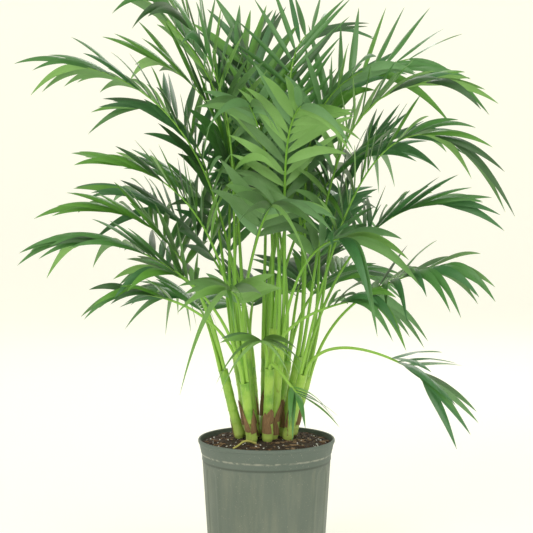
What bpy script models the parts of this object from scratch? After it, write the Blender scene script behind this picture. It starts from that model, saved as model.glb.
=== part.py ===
"""Potted cat palm: a nursery pot, its potting mix, fourteen stems and forty-two fronds.

Metres, +Z up, front at -Y. The origin is the middle of the pot's flat underside.
Azimuths are in degrees: 0 is +X, 90 is the rear, 180 is -X and 270 is the front.
Stems stand in a clump, and three fronds rise from the flat mouth of each one.
"""

import itertools
import math
import random
from dataclasses import dataclass, replace

import bmesh
import bpy
from mathutils import Matrix, Vector
from mathutils.bvhtree import BVHTree
from mathutils.geometry import interpolate_bezier

OBJECT_NAME = "potted_cat_palm"
GAP = 0.0003  # between pieces that touch on the real plant
SWELL = 0.0003  # added all round a petiole or leaflet while its place is tested
UP = Vector((0.0, 0.0, 1.0))

# Pot: a ten inch nursery pot
POT_HEIGHT = 0.240
RIM_RADIUS = 0.131
BASE_RADIUS = 0.110
SHOULDER_RADIUS = 0.1225  # of the body just under the collar
SHOULDER_HEIGHT = 0.198
COLLAR_STEP_HEIGHT = 0.2125  # the scuffed edge half way down the collar
LIP_HEIGHT = 0.0085
LIP_WIDTH = 0.0022
POT_WALL = 0.0024
POT_SIDES = 54
PANEL_COUNT = 18
PANEL_DEPTH = 0.0010
PANEL_SHARE = 0.80  # of the panel's pitch round the pot
PANEL_BOTTOM = 0.012
PANEL_TOP = 0.192
PANEL_ARCH_RISE = 0.012
PANEL_ARCH_STEPS = 6
DRAIN_COUNT = 6
DRAIN_RADIUS = 0.007
DRAIN_CIRCLE = 0.088

# Potting mix, heaped a little round the clump
SOIL_TOP = 0.2400
SOIL_FLAT_RADIUS = 0.082
SOIL_EDGE_DROP = 0.0075

# Stems
STEM_COUNT = 14
STEM_SIDES = 8
CLUMP_RADIUS = 0.058
CLUMP_CENTRE = Vector((-0.004, 0.010, 0.0))
CLUMP_TURN = 35.0
STEM_FOOT_RADIUS = 0.0094
STEM_MOUTH_RADIUS = 0.0091
STEM_FLARE = 1.22  # the bulb at the foot, times the foot's radius
INNER_STEM_HEIGHT = 0.230
OUTER_STEM_HEIGHT = 0.110
OUTER_STEM_LEAN = 17.0

# Fronds
SEATS = 3  # fronds to a stem
SEAT_CIRCLE = 0.0051
PETIOLE_RADIUS = 0.0038
RIB_START_RADIUS = 0.0026
RIB_TIP_RADIUS = 0.0010
RIB_POINT = 0.012  # how far the rib runs on to a point past its last pair
PETIOLE_PULLS = (0.42, 0.50, 0.34)  # how far a petiole keeps its stem's direction, as shares of its span
TIP_PULL = 0.36
PETIOLE_SECTIONS = 6
LEAF_ROOT = 0.0075  # along the rib
LEAF_WIDEST = 0.42  # of the leaflet's length
LEAF_LOUVRE = 24.0  # the blade's tilt about its own midline
LEAF_SLENDERNESS = 90.0  # length over thickness
BASE_AIM, TIP_AIM = 60.0, 27.0  # angle between leaflet and rib at the rib's two ends
BASE_LIFT, TIP_LIFT = 30.0, 14.0  # angle of a leaflet above its frond's plane
TURNS = (0, 3, -3, 6, -6, 10, -10, 14, -14, 19, -19, 25, -25, 32, -32)
UPRIGHT_RELIEF = 1.3  # a level leaflet droops this much more than its frond's mean, an upright one less
CLEAR_OF_RIB = 0.05  # the part of the way to its widest section that a leaflet isn't tested over
CORNER_SIGNS = ((-1, -1), (1, -1), (1, 1), (-1, 1))  # tipward, upward
LEAF_TRIES = (
    # more lift in degrees, more droop, length
    (0.0, 0.00, 1.00),
    (12.0, 0.08, 0.97),
    (-12.0, -0.08, 0.97),
    (24.0, 0.00, 0.92),
    (-24.0, 0.10, 0.92),
    (36.0, 0.20, 0.85),
    (-38.0, -0.15, 0.80),
    (0.0, 0.30, 0.72),
)


@dataclass(frozen=True)
class Frond:
    """One frond by the sizes a gardener would give."""

    name: str
    azimuth: float
    reach: float  # from the pot's axis to the rib's tip
    height: float  # of the rib's tip
    nod: float  # pitch of the rib at its tip, below 0 where it hangs
    pairs: int = 8
    leaf_length: float = 0.165
    leaf_width: float = 0.020
    bare: float = 0.50  # the petiole's share of the whole length
    droop: float = 0.30
    roll: float = 0.0  # turns the frond about its rib, its left side up


# The fronds that make the outline seen from the front
SHOWN_FRONDS = (
    Frond("frond_left_lowest", 190, 0.245, 0.520, 5, 4, 0.145, 0.020, 0.76, 0.60),
    Frond("frond_left_low", 200, 0.195, 0.560, 10, 5, 0.145, 0.021, 0.70, 0.60),
    Frond("frond_left_wide", 175, 0.355, 0.620, 5, 9, 0.170, 0.020, 0.52, 0.50),
    Frond("frond_left_middle", 165, 0.330, 0.675, 5, 9, 0.165, 0.020, 0.50, 0.40),
    Frond("frond_left_upper", 186, 0.265, 0.760, 15, 9, 0.155, 0.019, 0.50, 0.35),
    Frond("frond_left_arch", 178, 0.345, 0.945, 12, 10, 0.175, 0.017, 0.40, 0.60, 10),
    Frond("frond_left_high", 160, 0.220, 0.960, 25, 9, 0.175, 0.019, 0.45, 0.50, 15),
    Frond("frond_left_crown", 208, 0.200, 1.050, 40, 10, 0.215, 0.021, 0.42, 0.90, -45),
    Frond("frond_right_crown", 10, 0.285, 0.965, 10, 9, 0.175, 0.020, 0.48, 0.35, 55),
    Frond("frond_right_upper", 345, 0.310, 0.910, 2, 10, 0.160, 0.019, 0.46, 0.45),
    Frond("frond_right_leafy", 20, 0.310, 0.820, 5, 9, 0.160, 0.019, 0.46, 0.50),
    Frond("frond_right_arch", 0, 0.350, 0.805, -25, 9, 0.165, 0.018, 0.46, 0.55),
    Frond("frond_right_middle", 6, 0.335, 0.690, 5, 8, 0.165, 0.019, 0.54, 0.30),
    Frond("frond_right_low", 350, 0.330, 0.570, 12, 7, 0.155, 0.021, 0.64, 0.80),
    Frond("frond_right_lowest", 344, 0.305, 0.365, -38, 4, 0.150, 0.020, 0.72, 0.20),
    Frond("frond_right_broad", 322, 0.190, 0.625, -5, 5, 0.155, 0.027, 0.68, 0.75),
    Frond("frond_right_inner", 335, 0.205, 0.515, 10, 5, 0.145, 0.021, 0.68, 0.80),
    Frond("frond_front_middle", 273, 0.180, 0.685, -5, 5, 0.160, 0.026, 0.66, 0.90),
    Frond("frond_front_low", 248, 0.185, 0.535, 0, 5, 0.130, 0.024, 0.72, 0.90),
    Frond("frond_front_lowest", 266, 0.145, 0.440, -5, 3, 0.115, 0.024, 0.78, 0.80),
    Frond("frond_front_sucker", 300, 0.125, 0.335, -10, 3, 0.084, 0.012, 0.70, 0.40),
    Frond("frond_rear_comb", 52, 0.175, 1.035, 15, 10, 0.170, 0.012, 0.48, 0.25, 30),
)


@dataclass(frozen=True)
class Tier:
    """A layer of like fronds, spread over an arc by the golden ratio."""

    name: str
    count: int
    arc: tuple  # first and last azimuth
    reach: tuple
    height: tuple
    nod: tuple
    droop: float
    leaf_length: float


# The fronds that fill the crown, mostly behind
TIERS = (
    Tier("frond_rear_crown", 4, (85, 195), (0.12, 0.20), (0.98, 1.06), (35, 55), 0.35, 0.175),
    Tier("frond_rear_upper", 4, (30, 150), (0.26, 0.32), (0.86, 0.96), (0, 25), 0.40, 0.165),
    Tier("frond_rear_middle", 5, (25, 155), (0.30, 0.36), (0.68, 0.80), (-5, 20), 0.45, 0.165),
    Tier("frond_rear_low", 4, (40, 140), (0.26, 0.33), (0.48, 0.60), (-5, 15), 0.50, 0.152),
    Tier("frond_front_crown", 3, (225, 335), (0.14, 0.24), (0.82, 0.94), (10, 35), 0.70, 0.165),
)
TIER_ROLL = 30.0
GOLDEN_SHARE = 0.618034
GOLDEN_ANGLE = 137.508

# Colours, roughness and metallic value
POT_COLOUR = ((0.115, 0.155, 0.125), 0.62, 0.0)
SOIL_COLOUR = ((0.085, 0.050, 0.028), 0.95, 0.0)
STEM_COLOUR = ((0.300, 0.560, 0.070), 0.45, 0.0)
FROND_COLOUR = ((0.055, 0.270, 0.030), 0.42, 0.0)


def blend(first, last, share):
    """The value at this share of the way from first to last."""
    return first + (last - first) * share


def outward(azimuth):
    """The level direction at an azimuth."""
    angle = math.radians(azimuth)
    return Vector((math.cos(angle), math.sin(angle), 0.0))


def clear_scene():
    """Remove the objects that a new file starts with."""
    for obj in list(bpy.data.objects):
        bpy.data.objects.remove(obj, do_unlink=True)


def new_collection(name, shown):
    """Make a collection under the scene's own."""
    collection = bpy.data.collections.new(name)
    collection.hide_render = not shown
    bpy.context.scene.collection.children.link(collection)
    return collection


def new_material(name, finish):
    """Make a Principled material from colour, roughness and metallic value."""
    colour, roughness, metallic = finish
    material = bpy.data.materials.new(name)
    material.use_nodes = True
    shader = material.node_tree.nodes["Principled BSDF"]
    shader.inputs["Base Color"].default_value = (*colour, 1.0)
    shader.inputs["Roughness"].default_value = roughness
    shader.inputs["Metallic"].default_value = metallic
    material.diffuse_color = (*colour, 1.0)
    return material


def add_object(name, mesh, collection, material=None):
    """Make a named object of a mesh."""
    obj = bpy.data.objects.new(name, mesh)
    collection.objects.link(obj)
    if material is not None:
        mesh.materials.append(material)
    return obj


def add_bmesh_object(name, shape, collection, material=None):
    """Make a named object of a bmesh, and free the bmesh."""
    mesh = bpy.data.meshes.new(name)
    shape.to_mesh(mesh)
    shape.free()
    return add_object(name, mesh, collection, material)


def add_turned(name, profile, closed, collection, material=None):
    """Turn a profile of (radius, height) points, whose outer side runs down, about the Z axis."""
    shape = bmesh.new()
    points = [shape.verts.new((radius, 0.0, height)) for radius, height in profile]
    pairs = list(zip(points, points[1:]))
    if closed:
        pairs.append((points[-1], points[0]))
    for pair in pairs:
        shape.edges.new(pair)
    obj = add_bmesh_object(name, shape, collection, material)
    turn = obj.modifiers.new("turn", "SCREW")
    turn.steps = POT_SIDES
    turn.render_steps = POT_SIDES
    turn.use_merge_vertices = True
    turn.merge_threshold = 0.00001
    return obj


def add_cut(obj, cutter_collection):
    """Cut every object of a collection out of an object."""
    cut = obj.modifiers.new("cut", "BOOLEAN")
    cut.operation = "DIFFERENCE"
    cut.operand_type = "COLLECTION"
    cut.collection = cutter_collection


def body_radius(height):
    """Outer radius of the pot's tapering body."""
    return blend(BASE_RADIUS, SHOULDER_RADIUS, height / SHOULDER_HEIGHT)


def inner_wall():
    """The pot's inner wall from floor to lip, as (radius, height) points."""
    collar_inner = SHOULDER_RADIUS + 0.0002
    return [
        (body_radius(POT_WALL) - POT_WALL, POT_WALL),
        (SHOULDER_RADIUS - POT_WALL, SHOULDER_HEIGHT + 0.005),
        (collar_inner, COLLAR_STEP_HEIGHT + 0.003),
        (RIM_RADIUS - LIP_WIDTH - POT_WALL, POT_HEIGHT - LIP_HEIGHT),
        (RIM_RADIUS - LIP_WIDTH - POT_WALL + 0.0004, POT_HEIGHT - 0.0015),
    ]


def outer_wall():
    """The pot's outer wall from lip to foot, as (radius, height) points."""
    collar_top = RIM_RADIUS - LIP_WIDTH
    collar_foot = SHOULDER_RADIUS + 0.0024
    return [
        (RIM_RADIUS - 0.0034, POT_HEIGHT),
        (RIM_RADIUS - 0.0010, POT_HEIGHT),
        (RIM_RADIUS, POT_HEIGHT - 0.0014),
        (RIM_RADIUS, POT_HEIGHT - LIP_HEIGHT),
        (collar_top, POT_HEIGHT - LIP_HEIGHT - 0.0012),
        (collar_foot, COLLAR_STEP_HEIGHT + 0.0008),
        (collar_foot - 0.0014, COLLAR_STEP_HEIGHT - 0.0006),
        (SHOULDER_RADIUS + 0.0006, SHOULDER_HEIGHT + 0.0022),
        (SHOULDER_RADIUS, SHOULDER_HEIGHT),
        (BASE_RADIUS + 0.0008, 0.0030),
        (BASE_RADIUS - 0.0022, 0.0),
    ]


def panel_outline():
    """An arched panel's foot and arch, as (across, height) points."""
    half_pitch = math.pi / PANEL_COUNT
    spring = PANEL_TOP - PANEL_ARCH_RISE
    low = body_radius(PANEL_BOTTOM) * half_pitch * PANEL_SHARE
    high = body_radius(spring) * half_pitch * PANEL_SHARE
    points = [(-low, PANEL_BOTTOM), (low, PANEL_BOTTOM)]
    for step in range(PANEL_ARCH_STEPS + 1):
        angle = math.pi * step / PANEL_ARCH_STEPS
        points.append((high * math.cos(angle), spring + PANEL_ARCH_RISE * math.sin(angle)))
    return points


def panel_block_mesh():
    """An arched block, upright and facing +X, deep enough to cross the pot's wall."""
    curve = bpy.data.curves.new("panel_outline", "CURVE")
    curve.dimensions = "2D"
    curve.fill_mode = "BOTH"
    curve.extrude = 0.02
    points = panel_outline()
    spline = curve.splines.new("POLY")
    spline.points.add(len(points) - 1)
    for place, (across, height) in zip(spline.points, points):
        place.co = (across, height, 0.0, 1.0)
    spline.use_cyclic_u = True
    outline = bpy.data.objects.new("panel_outline", curve)
    bpy.context.scene.collection.objects.link(outline)
    graph = bpy.context.evaluated_depsgraph_get()
    mesh = bpy.data.meshes.new_from_object(outline.evaluated_get(graph))
    bpy.data.objects.remove(outline)
    shape = bmesh.new()
    shape.from_mesh(mesh)
    bmesh.ops.remove_doubles(shape, verts=shape.verts, dist=0.00001)
    bmesh.ops.recalc_face_normals(shape, faces=shape.faces)
    shape.to_mesh(mesh)
    shape.free()
    return mesh


def mark_as_cutter(obj):
    """Leave a cutter out of the picture."""
    obj.hide_render = True
    obj.display_type = "WIRE"


def make_panel_blocks(guides):
    """Arched blocks all round the pot, as one object."""
    one = panel_block_mesh()
    shape = bmesh.new()
    for index in range(PANEL_COUNT):
        azimuth = 2.0 * math.pi * (index + 0.5) / PANEL_COUNT
        stand = Matrix.Rotation(math.pi / 2, 4, "X")
        turn = Matrix.Rotation(azimuth + math.pi / 2, 4, "Z")
        block = one.copy()
        block.transform(turn @ Matrix.Translation((0.0, -SHOULDER_RADIUS, 0.0)) @ stand)
        shape.from_mesh(block)
        bpy.data.meshes.remove(block)
    bpy.data.meshes.remove(one)
    blocks = add_bmesh_object("panel_blocks", shape, guides)
    mark_as_cutter(blocks)
    return blocks


def make_pot(parts, cutters, guides):
    """The turned pot with its arched panels pressed in and its drain holes cut."""
    material = new_material("pot_plastic", POT_COLOUR)
    inside = [(0.0, POT_WALL)] + inner_wall()
    pot = add_turned("pot", inside + outer_wall() + [(0.0, 0.0)], False, parts, material)

    top, bottom = PANEL_TOP + 0.004, PANEL_BOTTOM - 0.004
    sleeve_profile = [
        (body_radius(bottom) - PANEL_DEPTH, bottom),
        (body_radius(top) - PANEL_DEPTH, top),
        (SHOULDER_RADIUS + 0.008, top),
        (SHOULDER_RADIUS + 0.008, bottom),
    ]
    sleeve = add_turned("panel_sleeve", sleeve_profile, True, cutters)
    keep = sleeve.modifiers.new("keep_the_panels", "BOOLEAN")
    keep.operation = "INTERSECT"
    keep.object = make_panel_blocks(guides)
    mark_as_cutter(sleeve)

    for index in range(DRAIN_COUNT):
        bpy.ops.mesh.primitive_cylinder_add(vertices=10, radius=DRAIN_RADIUS, depth=0.02)
        drain = bpy.context.object
        drain.name = f"drain_{index}"
        drain.location = DRAIN_CIRCLE * outward(360.0 * index / DRAIN_COUNT)
        for home in list(drain.users_collection):
            home.objects.unlink(drain)
        cutters.objects.link(drain)
        mark_as_cutter(drain)
    add_cut(pot, cutters)
    return pot


def make_soil(parts):
    """The potting mix that fills the pot, with a level top where the stems stand."""
    wall = [(radius - GAP, height) for radius, height in inner_wall()]
    edge_height = SOIL_TOP - SOIL_EDGE_DROP
    upper, lower = wall[3], wall[2]
    share = (edge_height - lower[1]) / (upper[1] - lower[1])
    edge_radius = blend(lower[0], upper[0], min(share, 1.0))
    profile = [
        (0.0, SOIL_TOP),
        (SOIL_FLAT_RADIUS, SOIL_TOP),
        (edge_radius, edge_height),
        wall[2],
        wall[1],
        (wall[0][0], POT_WALL + GAP),
        (0.0, POT_WALL + GAP),
    ]
    return add_turned("soil", profile, False, parts, new_material("potting_mix", SOIL_COLOUR))


def grow_stack(shape, rings):
    """Skin a stack of like rings, capped at both ends. Returns the walls of each step and the end cap."""
    made = bmesh.ops.create_cone(
        shape, cap_ends=True, segments=len(rings[0]), radius1=1.0, radius2=1.0, depth=1.0
    )
    shape.normal_update()
    cap = next(face for vert in made["verts"] for face in vert.link_faces if face.normal.z > 0.5)
    uppers = [loop.vert for loop in cap.loops]
    lowers = [
        next(edge.other_vert(vert) for edge in vert.link_edges if edge.other_vert(vert).co.z < 0.0)
        for vert in uppers
    ]
    for vert, place in zip(lowers, rings[0]):
        vert.co = place
    for vert, place in zip(uppers, rings[1]):
        vert.co = place
    walls = [[loop.link_loop_radial_next.face for loop in cap.loops]]
    for ring in rings[2:]:
        cap = bmesh.ops.extrude_discrete_faces(shape, faces=[cap])["faces"][0]
        for loop, place in zip(cap.loops, ring):
            loop.vert.co = place
        walls.append([loop.link_loop_radial_next.face for loop in cap.loops])
    return walls, cap


def ring_round(centre, side, normal, radius, angles):
    """Points round a centre, at angles in degrees measured from side towards normal."""
    return [
        centre + radius * (math.cos(math.radians(a)) * side + math.sin(math.radians(a)) * normal)
        for a in angles
    ]


def tree_of(rings, tip=None):
    """A search tree of a stack of rings, closed at a tip where there is one."""
    count = len(rings[0])
    points = [point for ring in rings for point in ring]
    faces = [tuple(range(count))]
    for step in range(len(rings) - 1):
        low = step * count
        for k in range(count):
            after = (k + 1) % count
            faces.append((low + k, low + after, low + count + after, low + count + k))
    last = len(points) - count
    if tip is None:
        faces.append(tuple(range(last, last + count)))
    else:
        points.append(tip)
        faces.extend((last + k, last + (k + 1) % count, len(points) - 1) for k in range(count))
    return BVHTree.FromPolygons(points, faces), points


class TakenSpace:
    """What has been placed so far, to test what comes next."""

    def __init__(self):
        self.items = []

    def bounds(self, points):
        low = Vector([min(point[axis] for point in points) for axis in range(3)])
        high = Vector([max(point[axis] for point in points) for axis in range(3)])
        return (low + high) / 2.0, (high - low).length / 2.0

    def add(self, tree, points):
        self.items.append((*self.bounds(points), tree))

    def is_free(self, tree, points):
        centre, radius = self.bounds(points)
        for other_centre, other_radius, other_tree in self.items:
            if (centre - other_centre).length < radius + other_radius and tree.overlap(other_tree):
                return False
        return True


class Stem:
    """A stem from its level cut at the soil to its flat mouth."""

    def __init__(self, index):
        share = math.sqrt((index + 0.5) / STEM_COUNT)
        self.name = f"stem_{index + 1:02d}"
        self.azimuth = (CLUMP_TURN + GOLDEN_ANGLE * index) % 360.0
        away = outward(self.azimuth)
        self.foot = CLUMP_CENTRE + away * (CLUMP_RADIUS * share) + UP * (SOIL_TOP + GAP)
        lean = math.radians(OUTER_STEM_LEAN * share)
        height = blend(INNER_STEM_HEIGHT, OUTER_STEM_HEIGHT, share)
        self.heading = away * math.sin(lean) + UP * math.cos(lean)
        self.mouth = self.foot + self.heading * (height / math.cos(lean))
        self.side = UP.cross(away)
        self.front = self.heading.cross(self.side)

    def rings(self):
        """The foot's level ring, its bulb, and the taper up to the mouth."""
        shares = (0.0, 0.05, 0.14, 0.55, 1.0)
        flares = (1.0, STEM_FLARE, 1.06, 0.97, STEM_MOUTH_RADIUS / STEM_FOOT_RADIUS)
        angles = [360.0 * k / STEM_SIDES for k in range(STEM_SIDES)]
        rings = []
        for share, flare in zip(shares, flares):
            centre = self.foot.lerp(self.mouth, share)
            normal = UP.cross(self.side) if share == 0.0 else self.front
            rings.append(ring_round(centre, self.side, normal, STEM_FOOT_RADIUS * flare, angles))
        return rings

    def seat(self, number):
        """Where a frond's foot stands on the mouth: number 0 is the outermost."""
        angle = 270.0 + 360.0 * number / SEATS
        return ring_round(self.mouth, self.side, self.front, SEAT_CIRCLE, [angle])[0]


class Spine:
    """A frond's midline from its foot to the tip of its rib, measured along its length."""

    def __init__(self, frond, foot, heading, pull):
        self.frond = frond
        away = outward(frond.azimuth)
        tip = away * frond.reach + UP * frond.height
        span = (tip - foot).length
        nod = math.radians(frond.nod)
        end = away * math.cos(nod) + UP * math.sin(nod)
        self.level_side = UP.cross(away)
        self.points = interpolate_bezier(
            foot, foot + heading * (pull * span), tip - end * (TIP_PULL * span), tip, 49
        )
        self.marks = [0.0]
        for before, after in zip(self.points, self.points[1:]):
            self.marks.append(self.marks[-1] + (after - before).length)
        self.length = self.marks[-1]

    def at(self, share):
        """The point at a share of the length, and the direction there."""
        mark = min(max(share, 0.0), 1.0) * self.length
        step = 1
        while step < len(self.marks) - 1 and self.marks[step] < mark:
            step += 1
        before, after = self.points[step - 1], self.points[step]
        part = (mark - self.marks[step - 1]) / (self.marks[step] - self.marks[step - 1])
        return before.lerp(after, part), (after - before).normalized()

    def frame(self, share):
        """Point, direction, left side and upper side of the frond at a share of its length."""
        point, along = self.at(share)
        side = (self.level_side - along * along.dot(self.level_side)).normalized()
        normal = along.cross(side)
        roll = math.radians(self.frond.roll) * max(0.0, (share - 0.2) / 0.8)
        turned_side = side * math.cos(roll) + normal * math.sin(roll)
        return point, along, turned_side, along.cross(turned_side)

    def radius(self, share):
        """Radius of the petiole and rib."""
        bare = self.frond.bare
        if share < bare:
            return blend(PETIOLE_RADIUS, RIB_START_RADIUS, share / bare)
        return blend(RIB_START_RADIUS, RIB_TIP_RADIUS, (share - bare) / (1.0 - bare))

    def ring(self, share, extra=0.0):
        """The three-cornered section, one corner up."""
        point, _, side, normal = self.frame(share)
        return ring_round(point, side, normal, self.radius(share) + extra, (-30.0, 90.0, 210.0))

    def sections(self):
        """The shares at which the solid has a section, and the first of the two at each station."""
        half_root = LEAF_ROOT / 2.0 / self.length
        shares = [self.frond.bare * step / PETIOLE_SECTIONS for step in range(PETIOLE_SECTIONS)]
        firsts = []
        for share in self.stations():
            firsts.append(len(shares))
            shares += [share - half_root, share + half_root]
        return shares, firsts

    def tip(self):
        """The rib's pointed end."""
        point, along = self.at(1.0)
        return point + along * RIB_POINT

    def tree(self):
        """The petiole and rib, slightly swollen, to test with."""
        shares, _ = self.sections()
        return tree_of([self.ring(share, SWELL) for share in shares], self.tip())

    def wall(self, share, hand):
        """The corners of the rib's upper wall on one side, where a leaflet is rooted."""
        half = LEAF_ROOT / 2.0 / self.length
        before, after = self.ring(share - half), self.ring(share + half)
        lower = 0 if hand > 0 else 2
        return before[lower], after[lower], after[1], before[1]

    def stations(self):
        """The share of the length at which each pair of leaflets is rooted."""
        first = self.frond.bare
        last = 1.0 - LEAF_ROOT / self.length
        steps = max(self.frond.pairs - 1, 1)
        return [blend(first, last, index / steps) for index in range(self.frond.pairs)]


@dataclass(frozen=True)
class Leaflet:
    """A leaflet by its root, where it aims, and how far it droops."""

    root: Vector
    hand: int  # 1 on the rib's left and -1 on its right
    corners: tuple  # of the rib's wall that it grows from, in the order of CORNER_SIGNS
    aim: Vector
    along: Vector  # the rib's direction at the root
    normal: Vector  # the frond's upper side at the root
    length: float
    width: float
    droop: float

    def at(self, share):
        """The midline's point and direction at a share of the length."""
        fall = self.droop * share
        point = self.root + self.length * share * (self.aim - UP * fall)
        return point, (self.aim - UP * (2.0 * fall)).normalized()

    def frame(self, share):
        """Point, direction, direction across the blade and the blade's upper side."""
        point, heading = self.at(share)
        tilt = math.radians(LEAF_LOUVRE)
        across = self.along * math.cos(tilt) + self.normal * math.sin(tilt)
        across = (across - heading * heading.dot(across)).normalized()
        return point, heading, across, across.cross(heading) * self.hand

    def widest(self, swell=0.0):
        """The corners of the widest section."""
        point, _, across, face = self.frame(LEAF_WIDEST)
        half_width = self.width / 2.0 + swell
        half_thickness = self.length / LEAF_SLENDERNESS / 2.0 + swell
        return [
            point + across * (tipward * half_width) + face * (upward * half_thickness)
            for tipward, upward in CORNER_SIGNS
        ]

    def tree(self):
        """The leaflet outside its rib, slightly swollen, to test with."""
        widest = self.widest(SWELL)
        near = [corner.lerp(wide, CLEAR_OF_RIB) for corner, wide in zip(self.corners, widest)]
        return tree_of([near, widest], self.at(1.01)[0])


def make_leaflet(spine, share, hand, attempt):
    """The leaflet on one side of a station."""
    frond = spine.frond
    place = (share - frond.bare) / (1.0 - frond.bare)
    draw = random.Random(f"{frond.name} {share:.3f} {hand}")
    more_lift, more_droop, shorter = attempt
    aim_angle = math.radians(blend(BASE_AIM, TIP_AIM, place) + draw.uniform(-5.0, 5.0))
    lift = math.radians(blend(BASE_LIFT, TIP_LIFT, place) + draw.uniform(-8.0, 8.0) + more_lift)
    slack = max(0.02, frond.droop * draw.uniform(0.6, 1.4) + more_droop)
    size = (0.74 + 0.26 * math.sin(math.pi * (0.12 + 0.76 * place))) * draw.uniform(0.92, 1.06)
    root, along, side, normal = spine.frame(share)
    sideways = side * (hand * math.cos(lift)) + normal * math.sin(lift)
    aim = along * math.cos(aim_angle) + sideways * math.sin(aim_angle)
    droop = slack * UPRIGHT_RELIEF * (1.0 - max(0.0, aim.z))
    length = frond.leaf_length * size * shorter
    corners = spine.wall(share, hand)
    return Leaflet(root, hand, corners, aim, along, normal, length, frond.leaf_width, droop)


def tier_fronds(tier):
    """The fronds of one tier."""
    fronds = []
    for index in range(tier.count):
        draw = random.Random(f"{tier.name} {index}")
        azimuth = blend(*tier.arc, (GOLDEN_SHARE * (index + 0.5)) % 1.0)
        fronds.append(
            Frond(
                f"{tier.name}_{index + 1}",
                azimuth,
                draw.uniform(*tier.reach),
                draw.uniform(*tier.height),
                draw.uniform(*tier.nod),
                pairs=8,
                leaf_length=tier.leaf_length * draw.uniform(0.94, 1.06),
                droop=tier.droop,
                roll=draw.uniform(-TIER_ROLL, TIER_ROLL),
            )
        )
    return fronds


def match_round(fronds, stems):
    """Pair fronds with as many stems in the same order round the clump, so that few cross."""
    fronds = sorted(fronds, key=lambda frond: frond.azimuth)
    stems = sorted(stems, key=lambda stem: stem.azimuth)

    def shifted(turn):
        return list(zip(fronds, stems[turn:] + stems[:turn]))

    def misfit(turn):
        return -sum(outward(f.azimuth).dot(outward(s.azimuth)) for f, s in shifted(turn))

    return shifted(min(range(len(stems)), key=misfit))


def seat_fronds(fronds, stems):
    """Stems with their three fronds: the lowest outermost, then one to the left and one to the right."""
    by_steepness = sorted(fronds, key=lambda frond: frond.height / (frond.reach + 0.15))
    half = STEM_COUNT // 2
    crews = {stem.name: [] for stem in stems}
    for layer in range(2 * SEATS):
        group = stems[half:] if layer < SEATS else stems[:half]
        for frond, stem in match_round(by_steepness[layer * half : (layer + 1) * half], group):
            crews[stem.name].append(frond)
    seated = []
    for stem in stems:
        lowest, *others = crews[stem.name]
        others.sort(key=lambda frond: -stem.side.dot(outward(frond.azimuth)))
        seated += [(frond, stem, seat) for seat, frond in enumerate([lowest, *others])]
    return sorted(seated, key=lambda item: by_steepness.index(item[0]))


def place_spine(frond, stem, seat, space):
    """Turn a frond about its foot until its petiole and rib are clear of everything placed."""
    foot = stem.seat(seat) + stem.heading * GAP
    for turn, pull in itertools.product(TURNS, PETIOLE_PULLS):
        spine = Spine(replace(frond, azimuth=frond.azimuth + turn), foot, stem.heading, pull)
        tree, points = spine.tree()
        if space.is_free(tree, points):
            space.add(tree, points)
            return spine
    raise RuntimeError(f"{frond.name} has no clear way out of {stem.name}")


def place_leaflets(spine, space):
    """The leaflets of a frond that stay clear, by station and hand."""
    kept = {}
    for station, share in enumerate(spine.stations()):
        for hand in (1, -1):
            for attempt in LEAF_TRIES:
                leaflet = make_leaflet(spine, share, hand, attempt)
                tree, points = leaflet.tree()
                if space.is_free(tree, points):
                    space.add(tree, points)
                    kept[station, hand] = leaflet
                    break
    return kept


def grow_leaflet(shape, wall, leaflet):
    """Draw one wall of the rib out into a leaflet: a widest section, then a point."""
    corners = [
        min(range(4), key=lambda k: (leaflet.corners[k] - loop.vert.co).length) for loop in wall.loops
    ]
    blade = bmesh.ops.extrude_discrete_faces(shape, faces=[wall])["faces"][0]
    widest = leaflet.widest()
    for loop, corner in zip(blade.loops, corners):
        loop.vert.co = widest[corner]
    end = bmesh.ops.poke(shape, faces=[blade])["verts"][0]
    end.co = leaflet.at(1.0)[0]


def make_frond(spine, leaflets, parts, material):
    """The frond as one body: petiole, rib and leaflets."""
    frond = spine.frond
    shares, firsts = spine.sections()
    shape = bmesh.new()
    walls, cap = grow_stack(shape, [spine.ring(share) for share in shares])
    for station, wall_index in enumerate(firsts):
        for hand, wall in ((1, walls[wall_index][0]), (-1, walls[wall_index][1])):
            if (station, hand) in leaflets:
                grow_leaflet(shape, wall, leaflets[station, hand])
    bmesh.ops.poke(shape, faces=[cap])["verts"][0].co = spine.tip()
    return add_bmesh_object(frond.name, shape, parts, material)


def make_stem(stem, parts, material):
    """A stem as one body."""
    shape = bmesh.new()
    grow_stack(shape, stem.rings())
    obj = add_bmesh_object(stem.name, shape, parts, material)
    obj.data.shade_smooth()
    obj.data.set_sharp_from_angle(angle=math.radians(50.0))
    return obj


def main():
    """Build the whole plant."""
    clear_scene()
    parts = new_collection(OBJECT_NAME, True)
    cutters = new_collection("pot_cutters", False)
    guides = new_collection("pot_guides", False)
    make_pot(parts, cutters, guides)
    make_soil(parts)

    stems = [Stem(index) for index in range(STEM_COUNT)]
    stem_material = new_material("stem_green", STEM_COLOUR)
    space = TakenSpace()
    for stem in stems:
        make_stem(stem, parts, stem_material)
        space.add(*tree_of(stem.rings()))
    rim = ring_round(UP * POT_HEIGHT, Vector((1, 0, 0)), Vector((0, 1, 0)), RIM_RADIUS, range(0, 360, 15))
    base = [point - UP * POT_HEIGHT for point in rim]
    space.add(*tree_of([base, rim]))

    fronds = list(SHOWN_FRONDS)
    for tier in TIERS:
        fronds += tier_fronds(tier)
    spines = [place_spine(frond, stem, seat, space) for frond, stem, seat in seat_fronds(fronds, stems)]
    frond_material = new_material("frond_green", FROND_COLOUR)
    for spine in spines:
        make_frond(spine, place_leaflets(spine, space), parts, frond_material)


if __name__ == "__main__":
    main()
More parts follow.
